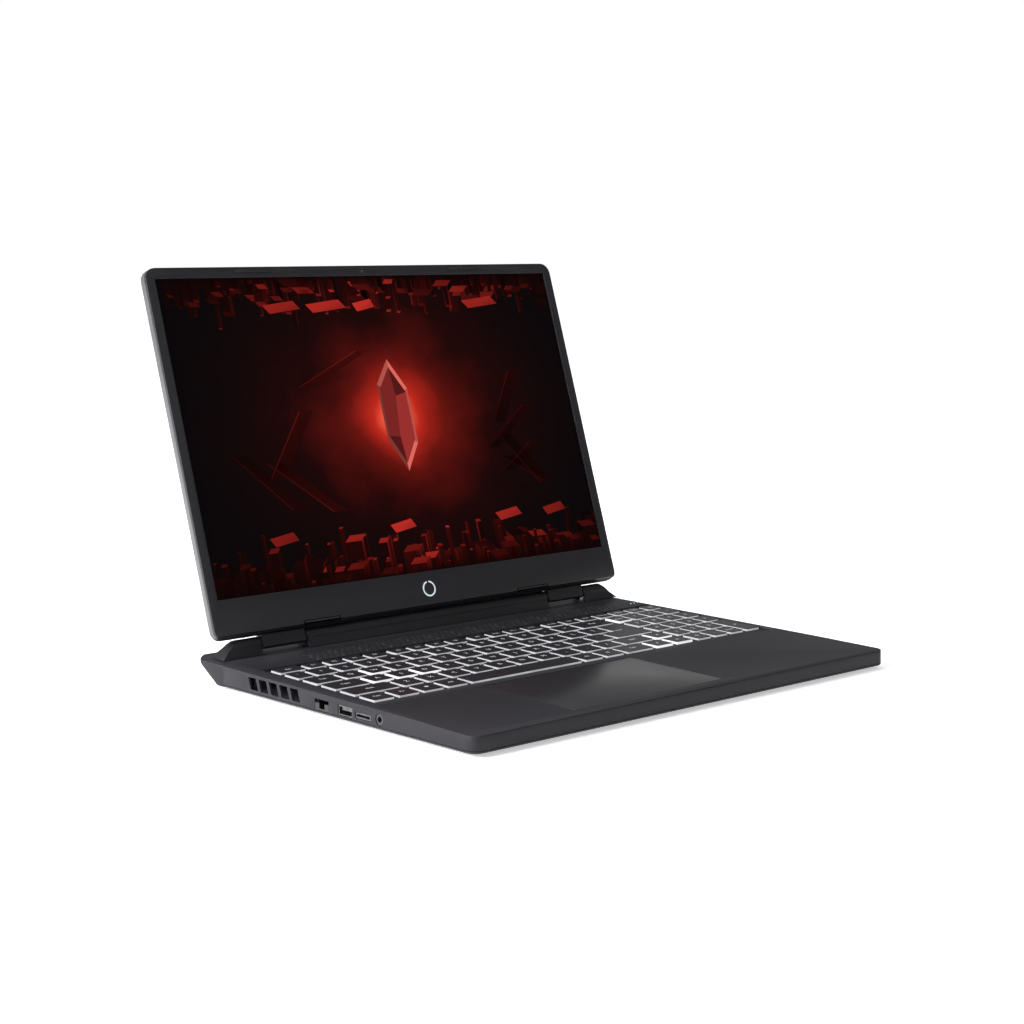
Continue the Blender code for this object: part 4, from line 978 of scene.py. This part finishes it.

# %% [markdown]
# The back of the lid is what the rest of the room sees. Two slender raised ribs run up it, leaning towards
# each other, and a short bar joins their feet. They are moulded with the lid, in the paler plastic of the
# deck's dashes.

# %% Ribs on the lid's back
def back_ribs():
    bm = bmesh.new()
    level = -0.0015
    for side in (-1, 1):
        for foot, head, width in ((0.092, 0.060, 0.0016), (0.100, 0.068, 0.0007)):
            corners = [(foot, 0.034), (foot + width, 0.034), (head + width, 0.196), (head, 0.196)]
            add_plate(bm, [(side * x, y) for x, y in corners], level + 0.0001, -0.00032)
    add_bar(bm, (-0.030, 0.0340, level - 0.00022), (0.030, 0.0352, level + 0.0001))
    bmesh.ops.recalc_face_normals(bm, faces=bm.faces[:])
    bmesh.ops.transform(bm, matrix=LID, verts=bm.verts[:])
    finish_piece(bm, "back_ribs", "lid", [dash_plastic])


back_ribs()

# %% [markdown]
# ## Inside the sockets
#
# The network socket has eight sprung gilt wires under its roof, one millimetre apart, which slope down
# into the dark. The round audio socket has a thin bright ring where its barrel meets the wall. The other
# sockets are left as the working model has them.

# %% Contacts and ring
WIRE_PITCH = 0.00102
WIRE_HALF = 0.00017
WIRE_FALL = 0.16


def socket_details():
    bm = bmesh.new()
    low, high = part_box("ethernet_jack")
    middle = (low.y + high.y) / 2
    for wire in range(8):
        y = middle + WIRE_PITCH * (wire - 3.5)
        mouth = (low.x + 0.0016, y - WIRE_HALF, high.z - 0.0019)
        root = (low.x + 0.0076, y + WIRE_HALF, high.z - 0.0016)
        for vert in add_bar(bm, mouth, root):
            vert.co.z -= WIRE_FALL * (vert.co.x - low.x)
    low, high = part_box("audio_jack")
    y, z = (low.y + high.y) / 2, (low.z + high.z) / 2
    outwards = Matrix.Translation((low.x, y, z)) @ Matrix.Rotation(-math.pi / 2, 4, "Y")
    add_ring(bm, outwards, 0.0030, 0.0024, 0.00005, steps=28, finish=1)
    finish_piece(bm, "socket_details", "base", [gold, socket_metal])


socket_details()

# %% [markdown]
# ## The deck's pattern and lamps
#
# Behind the keyboard the deck carries a field of short slanted dashes, raised by a fifth of a millimetre.
# They would be cut in the mould. We lay them as thin tapered bars in offset rows. Three tiny lamps sit at
# the right.

# %% Deck details
DASH_ROWS = 5
DASH_COUNT = 58
DASH_PITCH = 0.0050
DASH_ROW_PITCH = 0.0040
DASH_LEFT = -0.1250
DASH_FRONT = -0.0405
DASH_HALF_WIDTH = 0.0006
DASH_SUNK = 0.00002
DASH_HEIGHT = 0.00022


def add_dash(bm, x, y, half, slant):
    """One raised dash with tapered sides."""
    low = [(-half - slant, -DASH_HALF_WIDTH), (half - slant, -DASH_HALF_WIDTH)]
    low += [(half + slant, DASH_HALF_WIDTH), (-half + slant, DASH_HALF_WIDTH)]
    add_plate(bm, [(x + along, y + across) for along, across in low], -DASH_SUNK, DASH_HEIGHT, taper=0.8)


def deck_details():
    bm = bmesh.new()
    for row in range(DASH_ROWS):
        for number in range(DASH_COUNT):
            x = DASH_LEFT + (number + 0.5 * (row % 2)) * DASH_PITCH
            half = (0.0018, 0.0010, 0.0014)[(number + 2 * row) % 3]
            slant = 0.0005 if number % 4 else -0.0005
            add_dash(bm, x, DASH_FRONT + DASH_ROW_PITCH * row, half, slant)
    for number in range(3):
        add_disc(bm, (0.1665 + 0.0035 * number, -0.0330, 0.00006), 0.0005, 0.0002, 1, 12)
    bmesh.ops.transform(bm, matrix=DECK, verts=bm.verts[:])
    finish_piece(bm, "deck_details", "base", [dash_plastic, lamp], sharp=20.0)


deck_details()

# %% [markdown]
# ## Everything else
#
# The remaining solids are already detailed enough, since they are hidden or seen only through slots: fans,
# heatsinks, boards and brackets. Each takes the finish of its material slot, so that a pose that opens
# the laptop, or a view from below, never shows a bare solid.

# %% Finishes of the remaining solids
FINISH_OF = {
    "shell_plastic": shell_plastic,
    "hinge_cover": cover_plastic,
    "keycap": key_plastic,
    "touchpad_surface": pad_plastic,
    "black_plastic": black_plastic,
    "socket_metal": socket_metal,
    "steel": steel,
    "copper": copper,
    "circuit_board": board,
    "battery_foil": foil,
    "screen": black_plastic,
    "rubber": rubber,
}
for part in record["subparts"]:
    finish = FINISH_OF[part["material_slot"]]
    if part["node"] == "keyboard_plate":
        finish = dark_metal
    mesh = nodes[part["node"]].data
    mesh.materials.clear()
    mesh.materials.append(finish)
    mesh.polygons.foreach_set("material_index", [0] * len(mesh.polygons))
print("finishes given to", len(record["subparts"]), "solids")

# %% [markdown]
# ## Studio
#
# The laptop stands on a white sweep. What makes dark plastic readable is what it reflects, so the world is
# bright at the horizon, dark above it and brighter again straight overhead: the deck stays dark from above
# and turns pale where we see it at a grazing angle. The camera itself sees a plain white world. A wide
# light at the left lifts the side, a weak one at the front fills in, and one overhead draws the upper edges.

# %% World and floor
world = bpy.data.worlds.new("studio")
world.use_nodes = True
bpy.context.scene.world = world
background = world.node_tree.nodes["Background"]
direction = Field(world.node_tree.nodes.new("ShaderNodeTexCoord").outputs["Generated"])
height = direction.node("ShaderNodeSeparateXYZ", {}, {"Vector": direction}, 2)
stops = [(0.0, grey(0.66)), (0.10, grey(0.58)), (0.22, grey(0.26)), (0.60, grey(0.22)), (1.0, grey(0.55))]
sky = height.node("ShaderNodeValToRGB", {"stops": stops}, {"Fac": height})
seen = direction.node("ShaderNodeLightPath")
mixing = {"data_type": "RGBA"}
mixed = sky.node("ShaderNodeMix", mixing, {0: seen, 6: sky, 7: (1.0, 1.0, 1.0, 1.0)}, 2)
mixed.feeds(background, "Color")

floor_bm = bmesh.new()
bmesh.ops.create_grid(floor_bm, x_segments=1, y_segments=1, size=30.0)
floor_mesh = bpy.data.meshes.new("floor")
floor_bm.to_mesh(floor_mesh)
floor_bm.free()
floor_finish, floor_shader, floor_place = new_finish("white sweep", 0.9)
floor_shader.inputs["Base Color"].default_value = (0.92, 0.92, 0.92, 1.0)
floor_shader.inputs["Specular IOR Level"].default_value = 0.0
# The floor glows less near the laptop: a painted shade round it, which keeps its real shadow visible.
round_fade = {"gradient_type": "SPHERICAL"}
nearness = floor_place.node("ShaderNodeTexGradient", round_fade, {"Vector": floor_place}, 1)
glow_stops = [(0.0, grey(0.85)), (0.45, grey(0.60)), (0.80, grey(0.44))]
floor_glow_with_painted_shade = nearness.node("ShaderNodeValToRGB", {"stops": glow_stops}, {"Fac": nearness})
floor_glow_with_painted_shade.feeds(floor_shader, "Emission Color")
floor_shader.inputs["Emission Strength"].default_value = 1.0
floor_mesh.materials.append(floor_finish)
floor = bpy.data.objects.new("floor", floor_mesh)
bpy.context.scene.collection.objects.link(floor)


# %% Lights and camera
def add_light(name, place, target, width, height, watts):
    """A soft rectangular light that points from its place at a target."""
    data = bpy.data.lights.new(name, "AREA")
    data.shape = "RECTANGLE"
    data.size = width
    data.size_y = height
    data.energy = watts
    light = bpy.data.objects.new(name, data)
    light.location = place
    light.rotation_euler = (Vector(target) - Vector(place)).to_track_quat("-Z", "Y").to_euler()
    bpy.context.scene.collection.objects.link(light)


add_light("left light", (-1.6, 0.2, 0.8), (0.0, -0.1, 0.02), 1.2, 0.8, 74.0)
add_light("front light", (0.9, -2.2, 0.5), (0.0, -0.1, 0.02), 1.4, 0.5, 2.0)
add_light("top light", (0.2, 0.9, 2.4), (0.0, 0.0, 0.0), 1.6, 1.6, 18.0)

camera_data = bpy.data.cameras.new("camera")
camera_data.lens = 70.14
camera_data.sensor_width = 36.0
camera_data.clip_start = 0.01
camera = bpy.data.objects.new("camera", camera_data)
bpy.context.scene.collection.objects.link(camera)
yaw, pitch, roll = math.radians(41.34), math.radians(7.16), math.radians(-0.56)
aim = Matrix.Rotation(-yaw, 4, "Z") @ Matrix.Rotation(math.pi / 2 - pitch, 4, "X")
place = Matrix.Translation((-0.87113, -1.07905, 0.27207))
camera.matrix_world = place @ aim @ Matrix.Rotation(roll, 4, "Z")
bpy.context.scene.camera = camera
bpy.context.scene.view_settings.view_transform = "Standard"
